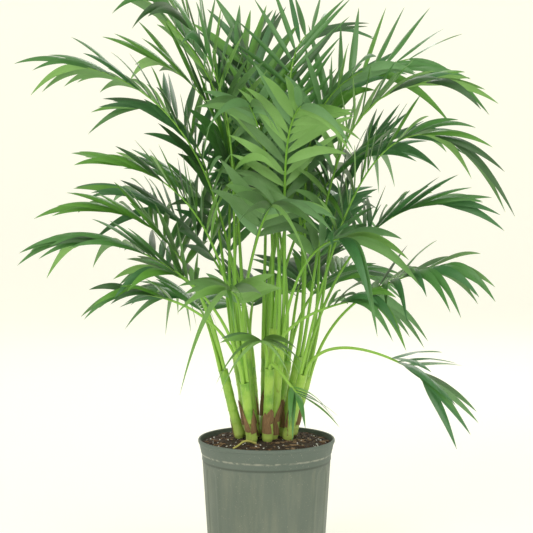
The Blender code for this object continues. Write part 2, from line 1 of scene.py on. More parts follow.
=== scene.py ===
"""The looks of the potted cat palm: pot, potting mix, sheathed stems, ribs and fine leaflets.

Metres, +Z up, front at -Y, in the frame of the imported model. Every frond grows by the rule of the
model's source, with more and narrower leaflets inside the same reach.
"""

import functools
import itertools
import math
import random
from dataclasses import dataclass, replace

import bmesh
import bpy
from bpy.props import FloatProperty, FloatVectorProperty, IntProperty, PointerProperty
from mathutils import Matrix, Vector, noise
from mathutils.bvhtree import BVHTree
from mathutils.geometry import interpolate_bezier


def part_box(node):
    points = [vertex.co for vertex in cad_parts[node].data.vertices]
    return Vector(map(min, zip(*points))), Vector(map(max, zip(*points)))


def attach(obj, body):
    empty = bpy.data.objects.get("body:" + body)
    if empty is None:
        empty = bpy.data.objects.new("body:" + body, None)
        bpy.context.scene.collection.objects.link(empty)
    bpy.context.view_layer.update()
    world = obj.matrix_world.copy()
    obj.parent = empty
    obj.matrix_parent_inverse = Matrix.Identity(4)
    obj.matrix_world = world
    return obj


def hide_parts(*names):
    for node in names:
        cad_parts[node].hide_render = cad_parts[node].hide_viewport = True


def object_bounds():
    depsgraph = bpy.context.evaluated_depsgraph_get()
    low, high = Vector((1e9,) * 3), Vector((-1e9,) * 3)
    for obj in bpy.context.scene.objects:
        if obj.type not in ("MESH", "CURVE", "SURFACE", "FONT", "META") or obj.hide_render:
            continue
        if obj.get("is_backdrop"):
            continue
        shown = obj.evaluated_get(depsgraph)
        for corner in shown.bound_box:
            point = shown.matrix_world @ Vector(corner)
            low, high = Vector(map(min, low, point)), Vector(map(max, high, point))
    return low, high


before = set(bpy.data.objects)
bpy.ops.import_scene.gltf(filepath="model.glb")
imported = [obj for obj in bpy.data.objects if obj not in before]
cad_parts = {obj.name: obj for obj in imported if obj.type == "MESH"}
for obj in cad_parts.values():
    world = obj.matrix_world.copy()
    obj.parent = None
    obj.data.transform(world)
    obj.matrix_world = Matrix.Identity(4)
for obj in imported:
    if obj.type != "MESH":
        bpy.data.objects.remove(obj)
CAD_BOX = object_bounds()

bl_info = {
    "name": "Potted Cat Palm",
    "version": (1, 0, 0),
    "blender": (4, 5, 0),
    "location": "3D View > Sidebar > Palm",
    "description": "Dresses the palm's plain solids with fine leaflets, stems, potting mix and pot",
    "category": "Object",
}

UP = Vector((0.0, 0.0, 1.0))
POT_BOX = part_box("pot")
SOIL_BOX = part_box("soil")

# Pot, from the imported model's own box where it can be
POT_HEIGHT = POT_BOX[1][2]
RIM_RADIUS = POT_BOX[1][1]
BASE_RADIUS = 0.110
SHOULDER_RADIUS = 0.1225
SHOULDER_HEIGHT = 0.198
COLLAR_STEP_HEIGHT = 0.2125
LIP_HEIGHT = 0.0085
LIP_WIDTH = 0.0022
LIP_ROLL = 0.0024
LIP_STEPS = 8
COLLAR_STEP = 0.0024  # how far the collar stands out from the shoulder
POT_WALL = 0.0024
PANEL_COUNT = 18
PANEL_SHARE = 0.80
PANEL_BOTTOM = 0.012
PANEL_TOP = 0.192
PANEL_ARCH_RISE = 0.012
PANEL_STEPS = 18  # columns of faces to a panel
FOOT_ROWS = 4  # points of the section below the body
BODY_ROWS = 56
DRAIN_COUNT = 6
DRAIN_RADIUS = 0.007
DRAIN_CIRCLE = 0.088

# Potting mix
SOIL_TOP = SOIL_BOX[1][2]
SOIL_FLAT_RADIUS = 0.082
SOIL_EDGE_RADIUS = 0.1258
SOIL_EDGE_DROP = 0.0075
SOIL_DEPTH = 0.030  # how far down the visible layer goes
SOIL_CLEARANCE = 0.0012  # between the mix and the pot's wall
SOIL_SINK = 0.0022  # its mean level below the plain solid's top
HOLLOW_RELIEF, CRUMB_RELIEF = 0.0026, 0.0014
HOLLOW_SCALE, CRUMB_SCALE = 55.0, 210.0  # cycles a metre
SOIL_RINGS = 46
SOIL_SIDES = 150

# Stems, as in the model's source
GAP = 0.0003
STEM_COUNT = 14
CLUMP_RADIUS = 0.058
CLUMP_CENTRE = Vector((-0.004, 0.010, 0.0))
CLUMP_TURN = 35.0
STEM_FOOT_RADIUS = 0.0094
STEM_MOUTH_RADIUS = 0.0091
STEM_SHARES = (0.0, 0.05, 0.14, 0.55, 1.0)
STEM_FLARES = (1.0, 1.22, 1.06, 0.97, STEM_MOUTH_RADIUS / STEM_FOOT_RADIUS)  # at those shares
INNER_STEM_HEIGHT = 0.230
OUTER_STEM_HEIGHT = 0.110
OUTER_STEM_LEAN = 17.0
GOLDEN_ANGLE = 137.508
GOLDEN_SHARE = 0.618034

# Fronds, as in the model's source
SEATS = 3
SEAT_CIRCLE = 0.0051
PETIOLE_RADIUS = 0.0038
RIB_START_RADIUS = 0.0026
RIB_TIP_RADIUS = 0.0010
PETIOLE_PULLS = (0.42, 0.50, 0.34)
TIP_PULL = 0.36
LEAF_WIDEST = 0.36
LEAF_LOUVRE = 24.0
BASE_AIM, TIP_AIM = 60.0, 27.0
BASE_LIFT, TIP_LIFT = 30.0, 14.0
TURNS = (0, 3, -3, 6, -6, 10, -10, 14, -14, 19, -19, 25, -25, 32, -32)  # degrees, in the order tried
UPRIGHT_RELIEF = 1.3
TIER_ROLL = 30.0
LEAF_TRIES = (
    # more lift in degrees, more droop, length
    (0.0, 0.00, 1.00),
    (12.0, 0.08, 0.97),
    (-12.0, -0.08, 0.97),
    (24.0, 0.00, 0.92),
    (-24.0, 0.10, 0.92),
    (36.0, 0.20, 0.85),
    (-38.0, -0.15, 0.80),
)

# Finer canes, ribs and leaflets
CANE_SIDES = 24
CANE_SECTIONS = 64
CANE_INSET = 0.0004  # keeps scars and sheaths near the plain solid's wall
SCAR_HEIGHT, SCAR_WIDTH = 0.00055, 0.0011
SHEATH_STEP = 0.00050
CANE_WOBBLE = 0.00022
SCRAP_STEPS = 8  # across and along a scrap of dry sheath
SCRAP_THICKNESS = 0.0005
RIB_SIDES = 10
RIB_SECTIONS = 54
RIB_CHANNEL = 0.26  # depth of the channel above, as a share of the radius
PETIOLE_SWELL, SWELL_SHARE = 1.10, 0.10  # at the foot, and how far up it goes
LEAF_SECTIONS = 16
LEAF_CROWDING = 0.9  # below 1 draws the sections towards the tip
LEAF_THICKNESS = 0.00050
LEAF_SPREAD = (1.0, 0.5, 0.0, -0.5, -1.0)  # points across the blade, as shares of its half width
LEAF_ROOT_WIDTH = 0.16  # as a share of the widest

GROUPS = ("left", "right", "front", "rear")

# Stage
CAMERA_HEIGHT = 0.727
CAMERA_TILT = 86.5  # degrees up from looking straight down
CAMERA_LENS, CAMERA_SENSOR = 92.6, 36.0  # millimetres
LIGHT_TARGET = Vector((0.0, 0.0, 0.65))
DAYLIGHT = 0.5
PAPER_GLOW = 0.44
FLOOR_RADIUS, WALL_BEND, WALL_HEIGHT = 4.5, 2.0, 7.0
COVE_SIDES, COVE_STEPS, FLOOR_STEPS = 96, 12, 4


@dataclass(frozen=True)
class Frond:
    """One frond by the sizes a gardener would give."""

    name: str
    azimuth: float
    reach: float
    height: float
    nod: float
    pairs: int = 8
    leaf_length: float = 0.165
    leaf_width: float = 0.020
    bare: float = 0.50
    droop: float = 0.30
    roll: float = 0.0


SHOWN_FRONDS = (
    Frond("frond_left_lowest", 190, 0.245, 0.520, 5, 4, 0.145, 0.020, 0.76, 0.60),
    Frond("frond_left_low", 200, 0.195, 0.560, 10, 5, 0.145, 0.021, 0.70, 0.60),
    Frond("frond_left_wide", 175, 0.355, 0.620, 5, 9, 0.170, 0.020, 0.52, 0.50),
    Frond("frond_left_middle", 165, 0.330, 0.675, 5, 9, 0.165, 0.020, 0.50, 0.40),
    Frond("frond_left_upper", 186, 0.265, 0.760, 15, 9, 0.155, 0.019, 0.50, 0.35),
    Frond("frond_left_arch", 178, 0.345, 0.945, 12, 10, 0.175, 0.017, 0.40, 0.60, 10),
    Frond("frond_left_high", 160, 0.220, 0.960, 25, 9, 0.175, 0.019, 0.45, 0.50, 15),
    Frond("frond_left_crown", 208, 0.200, 1.050, 40, 10, 0.215, 0.021, 0.42, 0.90, -45),
    Frond("frond_right_crown", 10, 0.285, 0.965, 10, 9, 0.175, 0.020, 0.48, 0.35, 55),
    Frond("frond_right_upper", 345, 0.310, 0.910, 2, 10, 0.160, 0.019, 0.46, 0.45),
    Frond("frond_right_leafy", 20, 0.310, 0.820, 5, 9, 0.160, 0.019, 0.46, 0.50),
    Frond("frond_right_arch", 0, 0.350, 0.805, -25, 9, 0.165, 0.018, 0.46, 0.55),
    Frond("frond_right_middle", 6, 0.335, 0.690, 5, 8, 0.165, 0.019, 0.54, 0.30),
    Frond("frond_right_low", 350, 0.330, 0.570, 12, 7, 0.155, 0.021, 0.64, 0.80),
    Frond("frond_right_lowest", 344, 0.305, 0.365, -38, 4, 0.150, 0.020, 0.72, 0.20),
    Frond("frond_right_broad", 322, 0.190, 0.625, -5, 5, 0.155, 0.027, 0.68, 0.75),
    Frond("frond_right_inner", 335, 0.205, 0.515, 10, 5, 0.145, 0.021, 0.68, 0.80),
    Frond("frond_front_middle", 273, 0.180, 0.685, -5, 5, 0.160, 0.026, 0.66, 0.90),
    Frond("frond_front_low", 248, 0.185, 0.535, 0, 5, 0.130, 0.024, 0.72, 0.90),
    Frond("frond_front_lowest", 266, 0.145, 0.440, -5, 3, 0.115, 0.024, 0.78, 0.80),
    Frond("frond_front_sucker", 300, 0.125, 0.335, -10, 3, 0.084, 0.012, 0.70, 0.40),
    Frond("frond_rear_comb", 52, 0.175, 1.035, 15, 10, 0.170, 0.012, 0.48, 0.25, 30),
)


@dataclass(frozen=True)
class Tier:
    """A layer of like fronds, spread over an arc by the golden ratio."""

    name: str
    count: int
    arc: tuple
    reach: tuple
    height: tuple
    nod: tuple
    droop: float
    leaf_length: float


TIERS = (
    Tier("frond_rear_crown", 4, (85, 195), (0.12, 0.20), (0.98, 1.06), (35, 55), 0.35, 0.175),
    Tier("frond_rear_upper", 4, (30, 150), (0.26, 0.32), (0.86, 0.96), (0, 25), 0.40, 0.165),
    Tier("frond_rear_middle", 5, (25, 155), (0.30, 0.36), (0.68, 0.80), (-5, 20), 0.45, 0.165),
    Tier("frond_rear_low", 4, (40, 140), (0.26, 0.33), (0.48, 0.60), (-5, 15), 0.50, 0.152),
    Tier("frond_front_crown", 3, (225, 335), (0.14, 0.24), (0.82, 0.94), (10, 35), 0.70, 0.165),
)


# Settings that a user would change


class PotSettings(bpy.types.PropertyGroup):
    """The pot's plastic."""

    colour: FloatVectorProperty(
        name="Plastic", description="Colour of the clean plastic", subtype="COLOR", size=3,
        default=(0.068, 0.098, 0.076),
    )
    dust: FloatVectorProperty(
        name="Dust", description="Colour of the dried dust on it", subtype="COLOR", size=3,
        default=(0.160, 0.180, 0.140),
    )
    panel_depth: FloatProperty(
        name="Panel depth", description="How far the arched panels are pressed in", unit="LENGTH",
        default=0.0012,
    )


class SoilSettings(bpy.types.PropertyGroup):
    """The potting mix and what lies in it."""

    colour: FloatVectorProperty(
        name="Mix", description="Colour of the moist mix", subtype="COLOR", size=3,
        default=(0.040, 0.024, 0.014),
    )
    relief: FloatProperty(
        name="Relief", description="Height of the crumbs on its surface", unit="LENGTH", default=0.0022,
    )
    perlite: IntProperty(name="Perlite", description="White grains on the surface", default=150)
    chips: IntProperty(name="Bark", description="Bark chips on the surface", default=260)


class StemSettings(bpy.types.PropertyGroup):
    """The green canes."""

    colour: FloatVectorProperty(
        name="Cane", description="Colour of a fresh cane", subtype="COLOR", size=3,
        default=(0.330, 0.540, 0.075),
    )
    ring_spacing: FloatProperty(
        name="Ring spacing", description="Distance between leaf scars", unit="LENGTH", default=0.026,
    )
    scraps: IntProperty(name="Scraps", description="Dry sheath scraps on each cane", default=2)


class FrondSettings(bpy.types.PropertyGroup):
    """The fronds' leaflets."""

    finer: FloatProperty(
        name="Finer", description="Leaflets here for one in the plain model", default=1.45,
    )
    narrower: FloatProperty(
        name="Narrower", description="Their width beside the plain model's", default=0.86,
    )
    fold: FloatProperty(
        name="Fold", description="Fall of the blade's edges beside its midline", subtype="ANGLE",
        default=math.radians(17.0),
    )
    colour: FloatVectorProperty(
        name="Leaf", description="Colour of a grown leaflet's upper side", subtype="COLOR", size=3,
        default=(0.050, 0.215, 0.022),
    )


class StageSettings(bpy.types.PropertyGroup):
    """Floor, light and camera."""

    colour: FloatVectorProperty(
        name="Floor", description="Colour of the floor and the wall round it", subtype="COLOR", size=3,
        default=(0.62, 0.615, 0.55),
    )
    key_power: FloatProperty(name="Key light", description="Power in watts", default=62.0)
    camera_distance: FloatProperty(
        name="Distance", description="From the camera to the pot's axis", unit="LENGTH", default=2.6,
    )


# Shader maths


class Wire:
    """A socket of a material's nodes. Arithmetic on it adds the Math nodes."""

    def __init__(self, finish, socket):
        self.finish = finish
        self.socket = socket

    def math(self, operation, other):
        return self.finish.add("ShaderNodeMath", {"operation": operation}, {0: self, 1: other})

    def __add__(self, other):
        return self.math("ADD", other)

    __radd__ = __add__

    def __mul__(self, other):
        return self.math("MULTIPLY", other)

    __rmul__ = __mul__

    def from_to(self, start, end):
        """0 below start, 1 above end and smooth between, or the other way round."""
        return self.finish.add(
            "ShaderNodeMapRange", {"interpolation_type": "SMOOTHSTEP"}, {0: self, 1: start, 2: end}
        )


class Finish:
    """A material in the making, round its Principled shader."""

    def __init__(self, name, **constants):
        self.material = bpy.data.materials.new(name)
        self.material.use_nodes = True
        self.tree = self.material.node_tree
        self.shader = self.tree.nodes["Principled BSDF"]
        for socket, value in constants.items():
            self.shader.inputs[socket.replace("_", " ").title()].default_value = value
        self.place = self.add("ShaderNodeTexCoord", output="Object")

    def add(self, kind, settings=None, inputs=None, output=0):
        """Add a node: its settings first, then the values or links of its sockets."""
        node = self.tree.nodes.new(kind)
        for name, value in (settings or {}).items():
            setattr(node, name, value)
        for key, value in (inputs or {}).items():
            self.feed(node.inputs[key], value)
        return Wire(self, node.outputs[output])

    def feed(self, socket, value):
        if isinstance(value, Wire):
            self.tree.links.new(value.socket, socket)
        else:
            socket.default_value = value

    def give(self, **links):
        """Link or set the shader's own sockets."""
        for name, value in links.items():
            self.feed(self.shader.inputs[name.replace("_", " ").title()], value)
        return self.material

    def mix(self, factor, first, second):
        """A colour between two colours."""
        inputs = {0: factor, 6: opaque(first), 7: opaque(second)}
        return self.add("ShaderNodeMix", {"data_type": "RGBA"}, inputs, output=2)

    def cloud(self, scale, detail=3.0, stretch=(1.0, 1.0, 1.0)):
        """Noise from 0 to 1 at a scale in cycles a metre, finer along the larger stretches."""
        where = self.add("ShaderNodeMapping", None, {"Vector": self.place, "Scale": stretch})
        return self.add("ShaderNodeTexNoise", None, {"Vector": where, "Scale": scale, "Detail": detail})

    def height(self):
        """Height above the pot's underside."""
        return self.add("ShaderNodeSeparateXYZ", None, {"Vector": self.place}, output="Z")

    def bump(self, height, distance):
        """A relief this deep."""
        return self.add("ShaderNodeBump", None, {"Height": height, "Distance": distance, "Strength": 1.0})


def opaque(colour):
    """A colour with its alpha, or the wire that carries one."""
    return colour if isinstance(colour, Wire) else (*colour, 1.0)


def lighter(colour, share):
    """The colour this share of the way to white, or to black where it is below 0."""
    goal = 1.0 if share > 0.0 else 0.0
    return tuple(blend(part, goal, abs(share)) for part in colour)


def pot_finish(settings):
    """Grey-green plastic, dusty, with splashes of dried mix, a painted highlight along the collar step
    and painted shade in the groove below it.
    """
    finish = Finish("pot_plastic", roughness=0.55)
    height = finish.height()
    plastic = finish.mix(finish.cloud(9.0), settings.colour, lighter(settings.colour, 0.06))
    streaks = finish.cloud(60.0, 4.0, (1.0, 1.0, 0.12)).from_to(0.42, 0.72)
    below_collar = height.from_to(SHOULDER_HEIGHT + 0.007, SHOULDER_HEIGHT - 0.008)
    dust = (streaks * 0.55 + finish.cloud(14.0) * 0.45) * below_collar
    dusty = finish.mix(dust, plastic, settings.dust)
    specks = finish.cloud(430.0, 2.0).from_to(0.66, 0.74)
    speckled = finish.mix(specks * 0.55, dusty, (0.34, 0.33, 0.26))
    edge = COLLAR_STEP_HEIGHT
    step = height.from_to(edge - 0.0035, edge) * height.from_to(edge + 0.0025, edge + 0.0003)
    # painted highlight: a pale line along the collar step's edge, broken up by noise
    painted_highlight = step * finish.cloud(90.0, 3.0).from_to(0.35, 0.60)
    highlighted_edge = finish.mix(painted_highlight * 0.75, speckled, (0.36, 0.36, 0.30))
    neck = SHOULDER_HEIGHT
    # painted shade: a dark line in the groove where the body meets the collar
    groove_shade = height.from_to(neck - 0.0025, neck + 0.0010) * height.from_to(neck + 0.0045, neck + 0.0012)
    colour = finish.mix(groove_shade * 0.55, highlighted_edge, (0.020, 0.026, 0.020))
    relief = finish.cloud(700.0, 2.0) * 0.5 + finish.cloud(35.0)
    return finish.give(
        base_color=colour, roughness=0.46 + finish.cloud(25.0) * 0.22, normal=finish.bump(relief, 0.0004)
    )


def soil_finish(settings):
    """Moist dark mix with paler fibres."""
    finish = Finish("potting_mix", roughness=0.95)
    crumbs = finish.cloud(320.0, 5.0)
    dark = finish.mix(finish.cloud(45.0), lighter(settings.colour, -0.45), settings.colour)
    colour = finish.mix(crumbs.from_to(0.56, 0.74), dark, (0.115, 0.066, 0.034))
    return finish.give(base_color=colour, normal=finish.bump(crumbs, settings.relief))


def grain_finish(name, first, second, scale, relief):
    """A mineral or bark grain in two near colours."""
    finish = Finish(name, roughness=0.9)
    colour = finish.mix(finish.cloud(scale, 4.0).from_to(0.35, 0.65), first, second)
    return finish.give(base_color=colour, normal=finish.bump(finish.cloud(scale * 2.5), relief))


def cane_finish(settings):
    """Yellow-green cane with fine fibres, green blotches and brown marks, paler at its foot."""
    finish = Finish("stem_green", roughness=0.42)
    height = finish.height()
    fibres = finish.cloud(520.0, 3.0, (1.0, 1.0, 0.06))
    green = finish.mix(finish.cloud(30.0).from_to(0.35, 0.7), settings.colour, (0.150, 0.360, 0.035))
    foot = height.from_to(SOIL_TOP + 0.055, SOIL_TOP)
    pale = finish.mix(foot * 0.55, green, (0.470, 0.520, 0.150))
    fibrous = finish.mix(fibres.from_to(0.5, 0.8) * 0.35, pale, (0.520, 0.640, 0.200))
    marks = finish.cloud(95.0, 5.0, (1.0, 1.0, 0.45)).from_to(0.63, 0.70)
    low_marks = marks * (0.25 + height.from_to(SOIL_TOP + 0.13, SOIL_TOP) * 0.75)
    colour = finish.mix(low_marks * 0.8, fibrous, (0.130, 0.060, 0.022))
    return finish.give(
        base_color=colour, roughness=0.36 + marks * 0.3, normal=finish.bump(fibres + marks * 0.6, 0.0005)
    )


def stalk_finish():
    """A fallen stalk, yellow-green turning brown."""
    finish = Finish("yellow_stalk", roughness=0.6)
    colour = finish.mix(finish.cloud(120.0), (0.330, 0.330, 0.070), (0.520, 0.480, 0.130))
    return finish.give(base_color=colour, normal=finish.bump(finish.cloud(500.0), 0.0003))


def sheath_finish():
    """Dry, papery sheath."""
    finish = Finish("dry_sheath", roughness=0.85)
    fibres = finish.cloud(600.0, 4.0, (1.0, 1.0, 0.05))
    colour = finish.mix(fibres, (0.085, 0.042, 0.018), (0.360, 0.225, 0.105))
    return finish.give(base_color=colour, normal=finish.bump(fibres, 0.0006))


def rib_finish():
    """Petioles and ribs: smooth yellow-green with faint mottling."""
    finish = Finish("rib_green", roughness=0.38)
    tone = finish.mix(finish.cloud(16.0), (0.120, 0.330, 0.030), (0.235, 0.480, 0.055))
    low = finish.height().from_to(SOIL_TOP + 0.34, SOIL_TOP + 0.10)
    colour = finish.mix(low * 0.7, tone, (0.300, 0.530, 0.070))
    relief = finish.cloud(420.0, 2.0, (1.0, 1.0, 0.15))
    return finish.give(base_color=colour, normal=finish.bump(relief, 0.0003))


def leaf_finish(name, colour, roughness):
    """One side of a leaflet in one tone, with the faint ribbing of its veins."""
    finish = Finish(name, roughness=roughness, coat_weight=0.05, coat_roughness=0.30)
    mottle = finish.cloud(38.0, 3.0)
    blade = finish.add("ShaderNodeTexCoord", output="UV")
    across = finish.add("ShaderNodeSeparateXYZ", None, {"Vector": blade}, output="X")
    ribbing = finish.add("ShaderNodeMath", {"operation": "SINE"}, {0: across * 60.0}) * 0.5 + 0.5
    tone = finish.mix(mottle, lighter(colour, -0.16), lighter(colour, 0.05))
    striped = finish.mix(ribbing * 0.22, tone, lighter(colour, 0.12))
    return finish.give(
        base_color=striped,
        roughness=roughness - 0.08 + mottle * 0.16,
        normal=finish.bump(ribbing, 0.00012),
    )


def leaf_finishes(colour):
    """Upper and lower side of each tone, in the order that leaflets number them."""
    tones = (
        ("grown", colour, (0.110, 0.290, 0.050)),
        ("fresh", (0.090, 0.300, 0.008), (0.170, 0.390, 0.060)),
        ("bluish", (0.026, 0.165, 0.026), (0.105, 0.280, 0.075)),
        ("deep", (0.014, 0.095, 0.004), (0.065, 0.195, 0.028)),
    )
    finishes = []
    for name, upper, lower in tones:
        finishes.append(leaf_finish(f"leaf_{name}_upper", upper, 0.34))
        finishes.append(leaf_finish(f"leaf_{name}_lower", lower, 0.50))
    return finishes


# Meshes


def blend(first, last, share):
    """The value at this share of the way from first to last."""
    return first + (last - first) * share


def smooth_step(edge, end, value):
    """0 before edge, 1 past end and smooth between."""
    share = min(max((value - edge) / (end - edge), 0.0), 1.0)
    return share * share * (3.0 - 2.0 * share)


def outward(azimuth):
    """The level direction at an azimuth in degrees."""
    angle = math.radians(azimuth)
    return Vector((math.cos(angle), math.sin(angle), 0.0))


class Heap:
    """Points and faces gathered for one joined mesh."""

    def __init__(self):
        self.points = []
        self.spots = []  # the UV place of each point
        self.faces = []
        self.slots = []

    def face(self, corners, slot=0):
        self.faces.append(corners)
        self.slots.append(slot)

    def add_points(self, points, spots=None):
        """Add points, and say where they start."""
        start = len(self.points)
        self.points += points
        self.spots += spots or [(0.0, 0.0)] * len(points)
        return start

    def skin(self, rings, slots=None, spots=None, capped=True):
        """Skin rings of points that run counter-clockwise about the way they are stacked. Where a ring
        is one point, the skin closes there."""
        count = max(len(ring) for ring in rings)
        slots = slots or [0] * count
        starts = [
            self.add_points(ring, spots[index] if spots else None) for index, ring in enumerate(rings)
        ]
        for low, high, lower, upper in zip(starts, starts[1:], rings, rings[1:]):
            for k in range(count):
                after = (k + 1) % count
                if len(lower) == 1:
                    self.face((low, high + after, high + k), slots[k])
                elif len(upper) == 1:
                    self.face((low + k, low + after, high), slots[k])
                else:
                    self.face((low + k, low + after, high + after, high + k), slots[k])
        if capped and len(rings[0]) > 1:
            self.face(tuple(range(starts[0] + count - 1, starts[0] - 1, -1)), slots[0])
        if capped and len(rings[-1]) > 1:
            self.face(tuple(range(starts[-1], starts[-1] + count)), slots[0])

    def lump(self, centre, sizes, turn, draw, slot=0):
        """A broken grain: a small sphere with its points moved about."""
        shape = bmesh.new()
        bmesh.ops.create_icosphere(shape, subdivisions=1, radius=1.0)
        for vert in shape.verts:
            vert.co *= draw.uniform(0.72, 1.18)
        shape.verts.index_update()
        start = self.add_points(
            [centre + turn @ Vector([c * s for c, s in zip(vert.co, sizes)]) for vert in shape.verts]
        )
        for face in shape.faces:
            self.face(tuple(start + vert.index for vert in face.verts), slot)
        shape.free()

    def to_piece(self, name, finishes, sharp_angle=40.0):
        """The joined mesh as a piece."""
        mesh = bpy.data.meshes.new(name)
        mesh.from_pydata(self.points, [], self.faces)
        for finish in finishes:
            mesh.materials.append(finish)
        mesh.polygons.foreach_set("material_index", self.slots)
        layer = mesh.uv_layers.new(name="blade")
        corners = [0] * len(mesh.loops)
        mesh.loops.foreach_get("vertex_index", corners)
        layer.data.foreach_set("uv", [part for corner in corners for part in self.spots[corner]])
        mesh.shade_smooth()
        mesh.set_sharp_from_angle(angle=math.radians(sharp_angle))
        mesh.update()
        obj = bpy.data.objects.new(name, mesh)
        bpy.context.scene.collection.objects.link(obj)
        return obj


def ring_round(centre, side, normal, radii):
    """Points round a centre from side towards normal, one for each radius."""
    count = len(radii)
    points = []
    for k, radius in enumerate(radii):
        angle = 2.0 * math.pi * k / count
        points.append(centre + side * (radius * math.cos(angle)) + normal * (radius * math.sin(angle)))
    return points


def settle(piece, slot, *nodes):
    """Let a piece ride on the plant's one body and stand for its nodes."""
    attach(piece, "root")
    if nodes:
        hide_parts(*nodes)


def body_radius(height):
    """Outer radius of the pot's tapering body."""
    return blend(BASE_RADIUS, SHOULDER_RADIUS, height / SHOULDER_HEIGHT)


def pot_profile():
    """The pot's section from the middle of its underside, up outside, over the lip and down inside."""
    collar_foot = SHOULDER_RADIUS + COLLAR_STEP
    collar_top = RIM_RADIUS - LIP_WIDTH
    inside = collar_top - POT_WALL
    body = [blend(0.0030, SHOULDER_HEIGHT, row / BODY_ROWS) for row in range(BODY_ROWS + 1)]
    lip_half = LIP_HEIGHT / 2.0
    lip = []
    for step in range(LIP_STEPS + 1):
        angle = math.radians(blend(-80.0, 100.0, step / LIP_STEPS))
        out = RIM_RADIUS - LIP_ROLL + LIP_ROLL * math.cos(angle)
        lip.append((out, POT_HEIGHT - lip_half + lip_half * math.sin(angle)))
    return [
        (0.0, 0.0),
        (BASE_RADIUS - 0.030, 0.0),
        (BASE_RADIUS - 0.0022, 0.0),
        (BASE_RADIUS - 0.0006, 0.0010),
        *[(body_radius(height), height) for height in body],
        (SHOULDER_RADIUS + 0.0003, SHOULDER_HEIGHT + 0.0012),
        (SHOULDER_RADIUS + 0.0009, SHOULDER_HEIGHT + 0.0026),
        (collar_foot - 0.0014, COLLAR_STEP_HEIGHT - 0.0012),
        (collar_foot - 0.0004, COLLAR_STEP_HEIGHT - 0.0002),
        (collar_foot, COLLAR_STEP_HEIGHT + 0.0008),
        (blend(collar_foot, collar_top, 0.5), blend(COLLAR_STEP_HEIGHT, POT_HEIGHT - LIP_HEIGHT, 0.5)),
        (collar_top, POT_HEIGHT - LIP_HEIGHT - 0.0014),
        *lip,
        (inside + 0.0004, POT_HEIGHT - 0.0015),
        (inside, POT_HEIGHT - LIP_HEIGHT),
        (SHOULDER_RADIUS + 0.0002, COLLAR_STEP_HEIGHT + 0.003),
        (SHOULDER_RADIUS - POT_WALL, SHOULDER_HEIGHT + 0.005),
        (body_radius(POT_WALL) - POT_WALL, POT_WALL),
        (0.0, POT_WALL),
    ]


def panel_mask(azimuth, height):
    """1 on an arched panel, 0 between panels, with a narrow slope at the edge."""
    pitch = 2.0 * math.pi / PANEL_COUNT
    across = abs((azimuth % pitch) - pitch / 2.0) / (pitch / 2.0)
    spring = PANEL_TOP - PANEL_ARCH_RISE
    half = PANEL_SHARE
    if height > spring:
        rise = min((height - spring) / PANEL_ARCH_RISE, 1.0)
        half *= math.sqrt(1.0 - rise * rise)
    side = 1.0 - smooth_step(half - 0.05, half + 0.05, across)
    return side * smooth_step(PANEL_BOTTOM - 0.001, PANEL_BOTTOM + 0.001, height)


def make_pot(settings):
    """The moulded pot: a turned shell with arched panels pressed in, and drain holes."""
    profile = pot_profile()
    columns = PANEL_COUNT * PANEL_STEPS
    heap = Heap()
    rings = []
    for row, (radius, height) in enumerate(profile):
        if radius == 0.0:
            rings.append([Vector((0.0, 0.0, height))])
            continue
        outside = FOOT_ROWS <= row <= FOOT_ROWS + BODY_ROWS
        ring = []
        for k in range(columns):
            azimuth = 2.0 * math.pi * k / columns
            pressed = settings.panel_depth * panel_mask(azimuth, height) if outside else 0.0
            ring.append((radius - pressed) * outward(math.degrees(azimuth)) + UP * height)
        rings.append(ring)
    heap.skin(rings, capped=False)
    pot = heap.to_piece("nursery_pot", [pot_finish(settings)], 28.0)
    cut_drains(pot)
    settle(pot, "pot_plastic", "pot")


def cut_drains(pot):
    """Drill the drain holes, with the cutters removed afterwards."""
    drills = []
    for index in range(DRAIN_COUNT):
        bpy.ops.mesh.primitive_cylinder_add(vertices=24, radius=DRAIN_RADIUS, depth=0.02)
        drill = bpy.context.object
        drill.location = DRAIN_CIRCLE * outward(360.0 * index / DRAIN_COUNT)
        drills.append(drill)
        cut = pot.modifiers.new("drain", "BOOLEAN")
        cut.operation = "DIFFERENCE"
        cut.object = drill
    graph = bpy.context.evaluated_depsgraph_get()
    graph.update()
    drilled = bpy.data.meshes.new_from_object(pot.evaluated_get(graph))
    pot.modifiers.clear()
    pot.data = drilled
    for drill in drills:
        bpy.data.objects.remove(drill)


def soil_height(x, y):
    """The mix's surface: level round the clump, falling to the wall, with crumbs and hollows."""
    radius = math.hypot(x, y)
    fall = SOIL_EDGE_DROP * smooth_step(SOIL_FLAT_RADIUS, SOIL_EDGE_RADIUS, radius)
    hollows = HOLLOW_RELIEF * noise.noise(Vector((x, y, 0.3)) * HOLLOW_SCALE)
    crumbs = CRUMB_RELIEF * noise.noise(Vector((x, y, 1.7)) * CRUMB_SCALE)
    return SOIL_TOP - fall - SOIL_SINK + hollows + crumbs


def round_of(count, radius):
    """Level points round the pot's axis."""
    return [radius * outward(360.0 * k / count) for k in range(count)]


def make_soil(settings):
    """The visible layer of the potting mix, closed underneath."""
    floor = UP * (SOIL_TOP - SOIL_DEPTH)
    wall = SOIL_EDGE_RADIUS - SOIL_CLEARANCE
    rings = [[floor]]
    for radius in (wall * 0.5, wall - 0.004):
        rings.append([spot + floor for spot in round_of(SOIL_SIDES, radius)])
    for step in range(SOIL_RINGS):
        ring = []
        for spot in round_of(SOIL_SIDES, wall * (1.0 - step / SOIL_RINGS)):
            ring.append(spot + UP * (soil_height(spot.x, spot.y) + settings.relief * 0.2))
        rings.append(ring)
    rings.append([UP * soil_height(0.0, 0.0)])
    heap = Heap()
    heap.skin(rings, capped=False)
    settle(heap.to_piece("potting_mix", [soil_finish(settings)], 60.0), "potting_mix", "soil")


